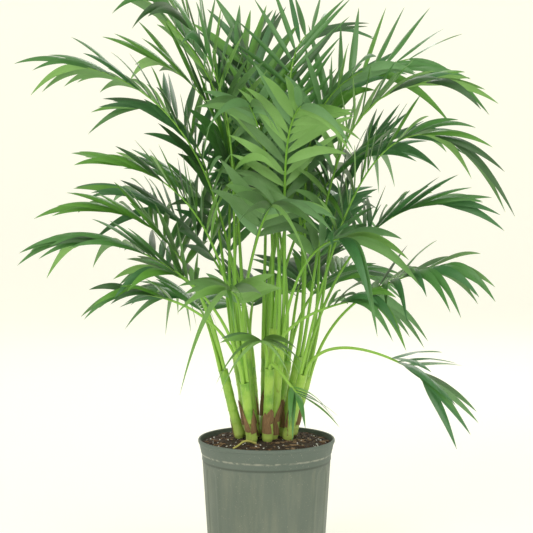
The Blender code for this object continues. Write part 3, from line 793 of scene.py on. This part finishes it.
def strewn(count, seed):
    """Places on the mix, clear of the pot's wall, each with its own draw."""
    for index in range(count):
        draw = random.Random(f"{seed} {index}")
        radius = (SOIL_EDGE_RADIUS - 0.008) * math.sqrt(draw.random())
        spot = radius * outward(draw.uniform(0.0, 360.0))
        yield Vector((spot.x, spot.y, soil_height(spot.x, spot.y))), draw


def tumble(draw, tilt):
    """A random heading with up to this tilt in degrees."""
    lean = math.radians(draw.uniform(-tilt, tilt))
    return Matrix.Rotation(draw.uniform(0.0, 6.28), 3, "Z") @ Matrix.Rotation(lean, 3, "X")


def strew_grains(settings):
    """Perlite, bark chips and crumbs, each kind joined."""
    perlite, bark, crumbs = Heap(), Heap(), Heap()
    for spot, draw in strewn(settings.perlite, "perlite"):
        size = draw.uniform(0.0010, 0.0026)
        perlite.lump(spot, (size, size * 0.9, size * 0.8), tumble(draw, 60.0), draw)
    for spot, draw in strewn(settings.chips, "bark"):
        length = draw.uniform(0.0030, 0.0095)
        sizes = (length, length * draw.uniform(0.35, 0.6), length * draw.uniform(0.14, 0.26))
        bark.lump(spot + UP * 0.0006, sizes, tumble(draw, 28.0), draw, draw.randrange(2))
    for spot, draw in strewn(settings.chips * 3, "crumb"):
        size = draw.uniform(0.0010, 0.0030)
        crumbs.lump(spot, (size, size, size * 0.8), tumble(draw, 60.0), draw)
    white = grain_finish("perlite_white", (0.56, 0.55, 0.50), (0.78, 0.77, 0.73), 400.0, 0.0004)
    brown = grain_finish("bark_brown", (0.060, 0.030, 0.015), (0.150, 0.078, 0.036), 260.0, 0.0006)
    tan = grain_finish("bark_tan", (0.140, 0.085, 0.045), (0.270, 0.175, 0.095), 260.0, 0.0006)
    dark = grain_finish("crumb_dark", (0.022, 0.013, 0.008), (0.060, 0.036, 0.020), 300.0, 0.0005)
    settle(perlite.to_piece("perlite_grains", [white], 30.0), "potting_mix")
    settle(bark.to_piece("bark_chips", [brown, tan], 30.0), "potting_mix")
    settle(crumbs.to_piece("soil_crumbs", [dark], 30.0), "potting_mix")


def tube(heap, points, radii, sides=8):
    """A round stalk along a few points."""
    rings = []
    side = UP
    for index, point in enumerate(points):
        before, after = points[max(index - 1, 0)], points[min(index + 1, len(points) - 1)]
        along = (after - before).normalized()
        side = (side - along * along.dot(side)).normalized()
        rings.append(ring_round(point, side, along.cross(side), [radii[index]] * sides))
    heap.skin(rings)


def above_mix(spot, rise):
    """The point this high above the mix."""
    return Vector((spot.x, spot.y, soil_height(spot.x, spot.y) + rise))


def lay_stalk():
    """A short fallen stalk, bowed up in its middle."""
    heap = Heap()
    start, stride, steps = Vector((-0.062, -0.088, 0.0)), Vector((0.0042, 0.0026, 0.0)), 10
    points = []
    for k in range(steps + 1):
        bow = 0.0024 + 0.0055 * math.sin(math.pi * k / steps)
        points.append(above_mix(start + stride * k, bow))
    tube(heap, points, [0.0017 + 0.00007 * k for k in range(steps + 1)])
    settle(heap.to_piece("fallen_stalk", [stalk_finish()], 60.0), "stem_green")


def lay_tendril():
    """A dry thread that curls inwards and rises."""
    heap = Heap()
    middle, steps = Vector((-0.088, -0.066, 0.0)), 39
    points, radii = [], []
    for k in range(steps + 1):
        share = k / steps
        curl = outward(40.0 + 420.0 * share) * blend(0.015, 0.003, share)
        points.append(above_mix(middle + curl, 0.0020 + 0.0065 * share))
        radii.append(blend(0.0010, 0.0004, share))
    tube(heap, points, radii, 6)
    settle(heap.to_piece("dry_tendril", [sheath_finish()], 60.0), "stem_green")


def lay_chip():
    """A pale chip of bark."""
    heap = Heap()
    draw = random.Random("pale chip")
    spot = above_mix(Vector((-0.083, -0.077, 0.0)), 0.0020)
    heap.lump(spot, (0.0048, 0.0034, 0.0018), tumble(draw, 20.0), draw)
    pale = grain_finish("pale_chip", (0.42, 0.38, 0.27), (0.60, 0.56, 0.42), 300.0, 0.0005)
    settle(heap.to_piece("pale_chip", [pale], 30.0), "potting_mix")


def lay_litter():
    """What lies on the mix at the front left."""
    lay_stalk()
    lay_tendril()
    lay_chip()


# The model's rule for stems and fronds, written again


class TakenSpace:
    """What has been placed so far, to test what comes next."""

    def __init__(self):
        self.items = []

    def bounds(self, points):
        low = Vector([min(point[axis] for point in points) for axis in range(3)])
        high = Vector([max(point[axis] for point in points) for axis in range(3)])
        return (low + high) / 2.0, (high - low).length / 2.0

    def add(self, tree, points):
        self.items.append((*self.bounds(points), tree))

    def is_free(self, tree, points):
        centre, radius = self.bounds(points)
        for other_centre, other_radius, other_tree in self.items:
            if (centre - other_centre).length < radius + other_radius and tree.overlap(other_tree):
                return False
        return True


def tree_of(rings, tip=None):
    """A search tree of a stack of rings, closed at a tip where there is one."""
    heap = Heap()
    heap.skin(rings + ([[tip]] if tip is not None else []))
    return BVHTree.FromPolygons(heap.points, heap.faces), heap.points


class Stem:
    """A cane from its level cut at the soil to its flat mouth."""

    def __init__(self, index):
        share = math.sqrt((index + 0.5) / STEM_COUNT)
        self.name = f"stem_{index + 1:02d}"
        self.azimuth = (CLUMP_TURN + GOLDEN_ANGLE * index) % 360.0
        away = outward(self.azimuth)
        self.foot = CLUMP_CENTRE + away * (CLUMP_RADIUS * share) + UP * (SOIL_TOP + GAP)
        lean = math.radians(OUTER_STEM_LEAN * share)
        height = blend(INNER_STEM_HEIGHT, OUTER_STEM_HEIGHT, share)
        self.heading = away * math.sin(lean) + UP * math.cos(lean)
        self.mouth = self.foot + self.heading * (height / math.cos(lean))
        self.side = UP.cross(away)
        self.front = self.heading.cross(self.side)

    def radius(self, share):
        """The plain solid's radius."""
        marks = list(zip(STEM_SHARES, STEM_FLARES))
        for (low, below), (high, above) in zip(marks, marks[1:]):
            if share <= high:
                return STEM_FOOT_RADIUS * blend(below, above, (share - low) / (high - low))
        return STEM_MOUTH_RADIUS

    def point(self, share, azimuth, radius):
        """A place on or near the cane, by share of its height, azimuth and radius."""
        angle = math.radians(azimuth)
        across = self.side * math.cos(angle) + self.front * math.sin(angle)
        return self.foot.lerp(self.mouth, share) + across * radius

    def seat(self, number):
        """Where a frond's foot stands on the mouth: number 0 is the outermost."""
        return self.point(1.0, 270.0 + 360.0 * number / SEATS, SEAT_CIRCLE)

    def tree(self):
        """A coarse cane to test with."""
        rings = [
            [self.point(share, 45.0 * k, self.radius(share)) for k in range(8)] for share in STEM_SHARES
        ]
        return tree_of(rings)


class Spine:
    """A frond's midline from its foot to the tip of its rib, measured along its length."""

    def __init__(self, frond, foot, heading, pull):
        self.frond = frond
        away = outward(frond.azimuth)
        tip = away * frond.reach + UP * frond.height
        span = (tip - foot).length
        nod = math.radians(frond.nod)
        end = away * math.cos(nod) + UP * math.sin(nod)
        self.level_side = UP.cross(away)
        self.points = interpolate_bezier(
            foot, foot + heading * (pull * span), tip - end * (TIP_PULL * span), tip, 49
        )
        self.marks = [0.0]
        for before, after in zip(self.points, self.points[1:]):
            self.marks.append(self.marks[-1] + (after - before).length)
        self.length = self.marks[-1]

    def at(self, share):
        """The point at a share of the length, and the direction there."""
        mark = min(max(share, 0.0), 1.0) * self.length
        step = 1
        while step < len(self.marks) - 1 and self.marks[step] < mark:
            step += 1
        before, after = self.points[step - 1], self.points[step]
        part = (mark - self.marks[step - 1]) / (self.marks[step] - self.marks[step - 1])
        return before.lerp(after, part), (after - before).normalized()

    def frame(self, share):
        """Point, direction, left side and upper side of the frond at a share of its length."""
        point, along = self.at(share)
        side = (self.level_side - along * along.dot(self.level_side)).normalized()
        normal = along.cross(side)
        roll = math.radians(self.frond.roll) * max(0.0, (share - 0.2) / 0.8)
        turned_side = side * math.cos(roll) + normal * math.sin(roll)
        return point, along, turned_side, along.cross(turned_side)

    def radius(self, share):
        """Radius of the petiole and rib."""
        bare = self.frond.bare
        if share < bare:
            return blend(PETIOLE_RADIUS, RIB_START_RADIUS, share / bare)
        return blend(RIB_START_RADIUS, RIB_TIP_RADIUS, (share - bare) / (1.0 - bare))

    def tree(self):
        """The petiole and rib in a few sections, to test with."""
        rings = []
        for step in range(13):
            point, _, side, normal = self.frame(step / 12.0)
            rings.append(ring_round(point, side, normal, [self.radius(step / 12.0)] * 4))
        return tree_of(rings)

    def stations(self, count):
        """The share of the length at which each of this many pairs is rooted."""
        last = 1.0 - 0.008 / self.length
        return [blend(self.frond.bare, last, index / max(count - 1, 1)) for index in range(count)]


@dataclass(frozen=True)
class Leaflet:
    """A leaflet by its root, where it aims, and how far it droops."""

    root: Vector
    hand: int  # 1 on the rib's left and -1 on its right
    aim: Vector
    along: Vector
    normal: Vector
    length: float
    width: float
    droop: float
    twist: float
    fold: float
    tone: int

    def at(self, share):
        """The midline's point and direction at a share of the length."""
        fall = self.droop * share
        point = self.root + self.length * share * (self.aim - UP * fall)
        return point, (self.aim - UP * (2.0 * fall)).normalized()

    def frame(self, share):
        """Point, direction across the blade and the blade's upper side, right-handed with its way."""
        point, heading = self.at(share)
        tilt = math.radians(LEAF_LOUVRE + self.twist * share)
        across = self.along * math.cos(tilt) + self.normal * math.sin(tilt)
        across = (across - heading * heading.dot(across)).normalized()
        return point, across * -self.hand, across.cross(heading) * self.hand

    def half_width(self, share):
        """Half the blade's width: narrow at the root, widest before the middle, drawn to a point."""
        if share < LEAF_WIDEST:
            swell = blend(LEAF_ROOT_WIDTH, 1.0, math.sin(math.pi / 2.0 * share / LEAF_WIDEST) ** 0.8)
        else:
            out = (share - LEAF_WIDEST) / (1.0 - LEAF_WIDEST)
            swell = (1.0 - out ** 1.55) ** 0.95
        return self.width / 2.0 * swell

    def ring(self, share):
        """One section: over the upper side from right to left, and back below."""
        point, across, face = self.frame(share)
        half = self.half_width(share)
        thickness = LEAF_THICKNESS * (1.0 - 0.5 * share)
        drop = math.tan(self.fold) * half * (1.0 - 0.6 * share)
        upper, lower = [], []
        for u in LEAF_SPREAD:
            middle = point + across * (u * half) - face * (drop * abs(u))
            if abs(u) == 1.0:
                upper.append(middle)
                continue
            ridge = thickness * (0.9 if u == 0.0 else 0.5)
            upper.append(middle + face * ridge)
            lower.append(middle - face * (thickness * 0.5))
        return upper + lower[::-1]

    def tree(self):
        """A coarse closed shape to test with, from just outside the rib."""
        rings = []
        for share in (0.06, LEAF_WIDEST, 0.72):
            point, across, face = self.frame(share)
            half = self.half_width(share)
            drop = math.tan(self.fold) * half
            rings.append([
                point + across * half - face * drop,
                point + face * 0.0006,
                point - across * half - face * drop,
            ])
        return tree_of(rings, self.at(1.0)[0])


def make_leaflet(spine, share, hand, attempt, settings):
    """The leaflet on one side of a station: hand is 1 on the left and -1 on the right."""
    frond = spine.frond
    place = (share - frond.bare) / (1.0 - frond.bare)
    draw = random.Random(f"{frond.name} {share:.3f} {hand}")
    more_lift, more_droop, shorter = attempt
    aim_angle = math.radians(blend(BASE_AIM, TIP_AIM, place) + draw.uniform(-5.0, 5.0))
    lift = math.radians(blend(BASE_LIFT, TIP_LIFT, place) + draw.uniform(-8.0, 8.0) + more_lift)
    slack = max(0.02, frond.droop * draw.uniform(0.6, 1.4) + more_droop)
    size = (0.74 + 0.26 * math.sin(math.pi * (0.12 + 0.76 * place))) * draw.uniform(0.92, 1.06)
    root, along, side, normal = spine.frame(share)
    sideways = side * (hand * math.cos(lift)) + normal * math.sin(lift)
    aim = along * math.cos(aim_angle) + sideways * math.sin(aim_angle)
    return Leaflet(
        root=root,
        hand=hand,
        aim=aim,
        along=along,
        normal=normal,
        length=frond.leaf_length * size * shorter,
        width=frond.leaf_width * settings.narrower * draw.uniform(0.92, 1.10),
        droop=slack * UPRIGHT_RELIEF * (1.0 - max(0.0, aim.z)),
        twist=draw.uniform(-16.0, 16.0),
        fold=settings.fold * draw.uniform(0.6, 1.4),
        tone=draw.choices((0, 1, 2, 3), weights=tone_weights(frond))[0],
    )


def tone_weights(frond):
    """How often each tone comes up: one favourite a frond, the deep one more often on low fronds."""
    draw = random.Random(f"tone of {frond.name}")
    favourite = draw.choices((0, 1, 2, 3), weights=(5, 4, 3, 2 if frond.height < 0.8 else 1))[0]
    return [6 if tone == favourite else 1 for tone in range(4)]


def tier_fronds(tier):
    """The fronds of one tier."""
    fronds = []
    for index in range(tier.count):
        draw = random.Random(f"{tier.name} {index}")
        azimuth = blend(*tier.arc, (GOLDEN_SHARE * (index + 0.5)) % 1.0)
        fronds.append(
            Frond(
                f"{tier.name}_{index + 1}",
                azimuth,
                draw.uniform(*tier.reach),
                draw.uniform(*tier.height),
                draw.uniform(*tier.nod),
                pairs=8,
                leaf_length=tier.leaf_length * draw.uniform(0.94, 1.06),
                droop=tier.droop,
                roll=draw.uniform(-TIER_ROLL, TIER_ROLL),
            )
        )
    return fronds


def match_round(fronds, stems):
    """Pair fronds with as many stems in the same order round the clump, so that few cross."""
    fronds = sorted(fronds, key=lambda frond: frond.azimuth)
    stems = sorted(stems, key=lambda stem: stem.azimuth)

    def shifted(turn):
        return list(zip(fronds, stems[turn:] + stems[:turn]))

    def misfit(turn):
        return -sum(outward(f.azimuth).dot(outward(s.azimuth)) for f, s in shifted(turn))

    return shifted(min(range(len(stems)), key=misfit))


def seat_fronds(fronds, stems):
    """Stems with their three fronds: the lowest outermost, then one to the left and one to the right."""
    by_steepness = sorted(fronds, key=lambda frond: frond.height / (frond.reach + 0.15))
    half = STEM_COUNT // 2
    crews = {stem.name: [] for stem in stems}
    for layer in range(2 * SEATS):
        group = stems[half:] if layer < SEATS else stems[:half]
        for frond, stem in match_round(by_steepness[layer * half : (layer + 1) * half], group):
            crews[stem.name].append(frond)
    seated = []
    for stem in stems:
        lowest, *others = crews[stem.name]
        others.sort(key=lambda frond: -stem.side.dot(outward(frond.azimuth)))
        seated += [(frond, stem, seat) for seat, frond in enumerate([lowest, *others])]
    return sorted(seated, key=lambda item: by_steepness.index(item[0]))


def place_spine(frond, stem, seat, space):
    """Turn a frond about its foot until its petiole and rib are clear of everything placed."""
    foot = stem.seat(seat) + stem.heading * GAP
    for turn, pull in itertools.product(TURNS, PETIOLE_PULLS):
        spine = Spine(replace(frond, azimuth=frond.azimuth + turn), foot, stem.heading, pull)
        tree, points = spine.tree()
        if space.is_free(tree, points):
            space.add(tree, points)
            return spine
    raise RuntimeError(f"{frond.name} has no clear way out of {stem.name}")


@functools.lru_cache(maxsize=1)
def plant():
    """Stems, spines in order of placing, and the space that they take."""
    stems = [Stem(index) for index in range(STEM_COUNT)]
    space = TakenSpace()
    for stem in stems:
        space.add(*stem.tree())
    fronds = list(SHOWN_FRONDS)
    for tier in TIERS:
        fronds += tier_fronds(tier)
    spines = [place_spine(frond, stem, seat, space) for frond, stem, seat in seat_fronds(fronds, stems)]
    return stems, spines, space


def group_of(spine):
    """The side of the crown that a frond's name gives."""
    return spine.frond.name.split("_")[1]


# Pieces of the plant


def cane_ring(stem, share, spacing, phase):
    """One section of a cane, with leaf scars as low rings and faint ribs round it."""
    length = (stem.mouth - stem.foot).length
    mark = share * length / spacing + phase
    near = abs(mark - round(mark)) * spacing
    scar = SCAR_HEIGHT * math.exp(-((near / SCAR_WIDTH) ** 2))
    sheath = SHEATH_STEP * (1.0 - (mark % 1.0))
    radius = stem.radius(share) - CANE_INSET + scar + sheath
    ring = []
    for k in range(CANE_SIDES):
        angle = 360.0 * k / CANE_SIDES
        wobble = CANE_WOBBLE * math.sin(math.radians(angle) * 3.0 + mark * 1.9)
        ring.append(stem.point(share, angle, radius + wobble))
    return ring


def make_canes(settings):
    """The canes, joined, and the dry scraps of sheath round their feet."""
    stems, _, _ = plant()
    canes, scraps = Heap(), Heap()
    for stem in stems:
        draw = random.Random(stem.name)
        phase = draw.random()
        rings = [
            cane_ring(stem, step / CANE_SECTIONS, settings.ring_spacing, phase)
            for step in range(CANE_SECTIONS + 1)
        ]
        lip = [stem.mouth + (point - stem.mouth) * 0.80 for point in rings[-1]]
        hollow = [stem.mouth + (point - stem.mouth) * 0.70 - stem.heading * 0.002 for point in rings[-1]]
        canes.skin(rings + [lip, hollow])
        for _ in range(settings.scraps):
            add_scrap(scraps, stem, draw)
    nodes = [stem.name for stem in stems]
    settle(canes.to_piece("canes", [cane_finish(settings)], 55.0), "stem_green", *nodes)
    settle(scraps.to_piece("dry_sheaths", [sheath_finish()], 50.0), "stem_green")


def add_scrap(heap, stem, draw):
    """A pointed scrap of dry sheath that hugs its cane, closed and thin."""
    start = draw.uniform(0.01, 0.28)
    length = (stem.mouth - stem.foot).length
    tall = draw.uniform(0.022, 0.055) / length
    middle = draw.uniform(0.0, 360.0)
    spread = draw.uniform(60.0, 100.0)
    rings = []
    for row in range(SCRAP_STEPS + 1):
        rise = row / SCRAP_STEPS
        half = spread * (1.0 - rise ** 1.8) + 2.0
        share = start + tall * rise
        base = stem.radius(share) + 0.0002 + 0.0012 * rise
        outer, inner = [], []
        for k in range(SCRAP_STEPS + 1):
            angle = middle + half * (2.0 * k / SCRAP_STEPS - 1.0)
            crease = 0.00025 * math.sin(k * 2.4 + row)
            outer.append(stem.point(share, angle, base + SCRAP_THICKNESS + crease))
            inner.append(stem.point(share, angle, base + crease))
        rings.append(outer + inner[::-1])
    heap.skin(rings)


def rib_ring(spine, share):
    """One section of a petiole or rib: round below, with a shallow channel above."""
    point, _, side, normal = spine.frame(share)
    radius = spine.radius(share)
    if share < SWELL_SHARE:
        radius *= blend(PETIOLE_SWELL, 1.0, share / SWELL_SHARE)
    radii = []
    for k in range(RIB_SIDES):
        upward = math.sin(2.0 * math.pi * k / RIB_SIDES)
        radii.append(radius * (1.0 - RIB_CHANNEL * max(0.0, upward) ** 2))
    return ring_round(point, side, normal, radii)


def make_ribs():
    """Petioles and ribs, one joined piece for each side of the crown."""
    _, spines, _ = plant()
    finish = rib_finish()
    for group in GROUPS:
        heap = Heap()
        members = [spine for spine in spines if group_of(spine) == group]
        for spine in members:
            heap.skin([rib_ring(spine, step / RIB_SECTIONS) for step in range(RIB_SECTIONS + 1)])
        nodes = [spine.frond.name for spine in members]
        settle(heap.to_piece(f"ribs_{group}", [finish], 60.0), "frond_green", *nodes)


def grow_leaflet(heap, leaflet):
    """A leaflet as a thin closed blade with a raised midline."""
    rings, spots = [], []
    for step in range(LEAF_SECTIONS):
        share = (step / LEAF_SECTIONS) ** LEAF_CROWDING
        rings.append(leaflet.ring(share))
        spots.append([(0.25 * abs(4 - k), share) for k in range(8)])
    rings.append([leaflet.at(1.0)[0]])
    spots.append([(0.5, 1.0)])
    upper, lower = 2 * leaflet.tone, 2 * leaflet.tone + 1
    heap.skin(rings, [upper] * 4 + [lower] * 4, spots)


def make_leaflets(settings):
    """The leaflets of every frond, one joined piece for each side of the crown."""
    _, spines, space = plant()
    finishes = leaf_finishes(settings.colour)
    heaps = {group: Heap() for group in GROUPS}
    for spine in spines:
        pairs = max(3, round(spine.frond.pairs * settings.finer))
        for share, hand in itertools.product(spine.stations(pairs), (1, -1)):
            for attempt in LEAF_TRIES:
                leaflet = make_leaflet(spine, share, hand, attempt, settings)
                tree, points = leaflet.tree()
                if space.is_free(tree, points):
                    space.add(tree, points)
                    grow_leaflet(heaps[group_of(spine)], leaflet)
                    break
    for group, heap in heaps.items():
        nodes = [spine.frond.name for spine in spines if group_of(spine) == group]
        settle(heap.to_piece(f"leaflets_{group}", finishes, 50.0), "frond_green", *nodes)


# The stage


def make_cove(settings):
    """A round floor that curves up into a wall, so that every side has the same plain ground."""
    profile = [(FLOOR_RADIUS * step / FLOOR_STEPS, 0.0) for step in range(1, FLOOR_STEPS + 1)]
    for step in range(1, COVE_STEPS + 1):
        angle = math.pi / 2.0 * step / COVE_STEPS
        out = FLOOR_RADIUS + WALL_BEND * math.sin(angle)
        profile.append((out, WALL_BEND * (1.0 - math.cos(angle))))
    profile.append((FLOOR_RADIUS + WALL_BEND, WALL_HEIGHT))
    rings = [[Vector((0.0, 0.0, 0.0))]]
    for radius, height in profile:
        rings.append([spot + UP * height for spot in reversed(round_of(COVE_SIDES, radius))])
    heap = Heap()
    heap.skin(rings, capped=False)
    finish = Finish("stage_paper", roughness=0.9, emission_strength=PAPER_GLOW)
    finish.give(base_color=opaque(settings.colour), emission_color=opaque((1.0, 0.99, 0.90)))
    cove = heap.to_piece("stage_cove", [finish.material], 60.0)
    cove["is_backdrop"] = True


def add_light(name, place, size, power, colour):
    """A soft square light that faces the plant's middle."""
    light = bpy.data.lights.new(name, "AREA")
    light.size = size
    light.energy = power
    light.color = colour
    obj = bpy.data.objects.new(name, light)
    obj.location = place
    obj.rotation_euler = (LIGHT_TARGET - place).to_track_quat("-Z", "Y").to_euler()
    bpy.context.scene.collection.objects.link(obj)


def make_world():
    """Even pale daylight from the open top."""
    world = bpy.data.worlds.new("daylight")
    world.use_nodes = True
    sky = world.node_tree.nodes["Background"]
    sky.inputs["Color"].default_value = (1.0, 0.99, 0.96, 1.0)
    sky.inputs["Strength"].default_value = DAYLIGHT
    bpy.context.scene.world = world


def make_camera(settings):
    """The photograph's view: a little above the middle of the plant, looking slightly down."""
    camera = bpy.data.cameras.new("camera")
    camera.lens = CAMERA_LENS
    camera.sensor_width = CAMERA_SENSOR
    obj = bpy.data.objects.new("camera", camera)
    obj.location = (0.0, -settings.camera_distance, CAMERA_HEIGHT)
    obj.rotation_euler = (math.radians(CAMERA_TILT), 0.0, 0.0)
    bpy.context.scene.collection.objects.link(obj)
    bpy.context.scene.camera = obj


def set_stage(settings):
    """Floor, lights, world and camera."""
    make_cove(settings)
    make_world()
    power = settings.key_power
    add_light("key", Vector((-2.2, -2.8, 3.0)), 1.8, power, (1.0, 0.98, 0.94))
    add_light("fill", Vector((2.8, -2.0, 1.8)), 2.2, power * 0.45, (0.95, 0.98, 1.0))
    add_light("back", Vector((0.6, 3.0, 2.8)), 2.0, power * 0.6, (1.0, 1.0, 1.0))
    make_camera(settings)
    bpy.context.scene.view_settings.view_transform = "Standard"


# Operators, panel and registration


class PALM_OT_stage(bpy.types.Operator):
    """Lay the pale floor and set light and camera"""

    bl_idname = "palm.stage"
    bl_label = "Set the stage"

    def execute(self, context):
        set_stage(context.scene.palm_stage)
        return {"FINISHED"}


class PALM_OT_pot(bpy.types.Operator):
    """Mould the pot with its lip, collar and arched panels"""

    bl_idname = "palm.pot"
    bl_label = "Mould the pot"

    def execute(self, context):
        make_pot(context.scene.palm_pot)
        return {"FINISHED"}


class PALM_OT_soil(bpy.types.Operator):
    """Fill the pot with potting mix"""

    bl_idname = "palm.soil"
    bl_label = "Fill with mix"

    def execute(self, context):
        make_soil(context.scene.palm_soil)
        return {"FINISHED"}


class PALM_OT_grains(bpy.types.Operator):
    """Strew perlite, bark chips and crumbs over the mix"""

    bl_idname = "palm.grains"
    bl_label = "Strew grains"

    def execute(self, context):
        strew_grains(context.scene.palm_soil)
        return {"FINISHED"}


class PALM_OT_litter(bpy.types.Operator):
    """Lay the fallen stalk, the dry tendril and the pale chip"""

    bl_idname = "palm.litter"
    bl_label = "Lay litter"

    def execute(self, context):
        lay_litter()
        return {"FINISHED"}


class PALM_OT_canes(bpy.types.Operator):
    """Grow the ringed canes with their dry sheaths"""

    bl_idname = "palm.canes"
    bl_label = "Grow canes"

    def execute(self, context):
        make_canes(context.scene.palm_stems)
        return {"FINISHED"}


class PALM_OT_ribs(bpy.types.Operator):
    """Grow the petioles and ribs"""

    bl_idname = "palm.ribs"
    bl_label = "Grow ribs"

    def execute(self, context):
        make_ribs()
        return {"FINISHED"}


class PALM_OT_leaflets(bpy.types.Operator):
    """Grow the leaflets along every rib"""

    bl_idname = "palm.leaflets"
    bl_label = "Grow leaflets"

    def execute(self, context):
        make_leaflets(context.scene.palm_fronds)
        return {"FINISHED"}


OPERATORS = (
    PALM_OT_stage,
    PALM_OT_pot,
    PALM_OT_soil,
    PALM_OT_grains,
    PALM_OT_litter,
    PALM_OT_canes,
    PALM_OT_ribs,
    PALM_OT_leaflets,
)
SETTINGS = {
    "palm_pot": PotSettings,
    "palm_soil": SoilSettings,
    "palm_stems": StemSettings,
    "palm_fronds": FrondSettings,
    "palm_stage": StageSettings,
}


class PALM_PT_panel(bpy.types.Panel):
    """The palm's settings and steps"""

    bl_idname = "PALM_PT_panel"
    bl_label = "Potted Cat Palm"
    bl_space_type = "VIEW_3D"
    bl_region_type = "UI"
    bl_category = "Palm"

    def draw(self, context):
        for name, group in SETTINGS.items():
            box = self.layout.box()
            for setting in group.__annotations__:
                box.prop(getattr(context.scene, name), setting)
        for operator in OPERATORS:
            self.layout.operator(operator.bl_idname)


def register():
    """Register settings, operators and panel."""
    for name, group in SETTINGS.items():
        bpy.utils.register_class(group)
        setattr(bpy.types.Scene, name, PointerProperty(type=group))
    for shown in (*OPERATORS, PALM_PT_panel):
        bpy.utils.register_class(shown)


def unregister():
    """Take them away again."""
    for shown in (PALM_PT_panel, *OPERATORS):
        bpy.utils.unregister_class(shown)
    for name, group in SETTINGS.items():
        delattr(bpy.types.Scene, name)
        bpy.utils.unregister_class(group)


def main():
    """Dress the plant in order."""
    register()
    for operator in OPERATORS:
        family, step = operator.bl_idname.split(".")
        getattr(getattr(bpy.ops, family), step)()
    boxes = {"cad": CAD_BOX, "visual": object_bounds()}
    {name: [list(corner) for corner in box] for name, box in boxes.items()}


if __name__ == "__main__":
    main()
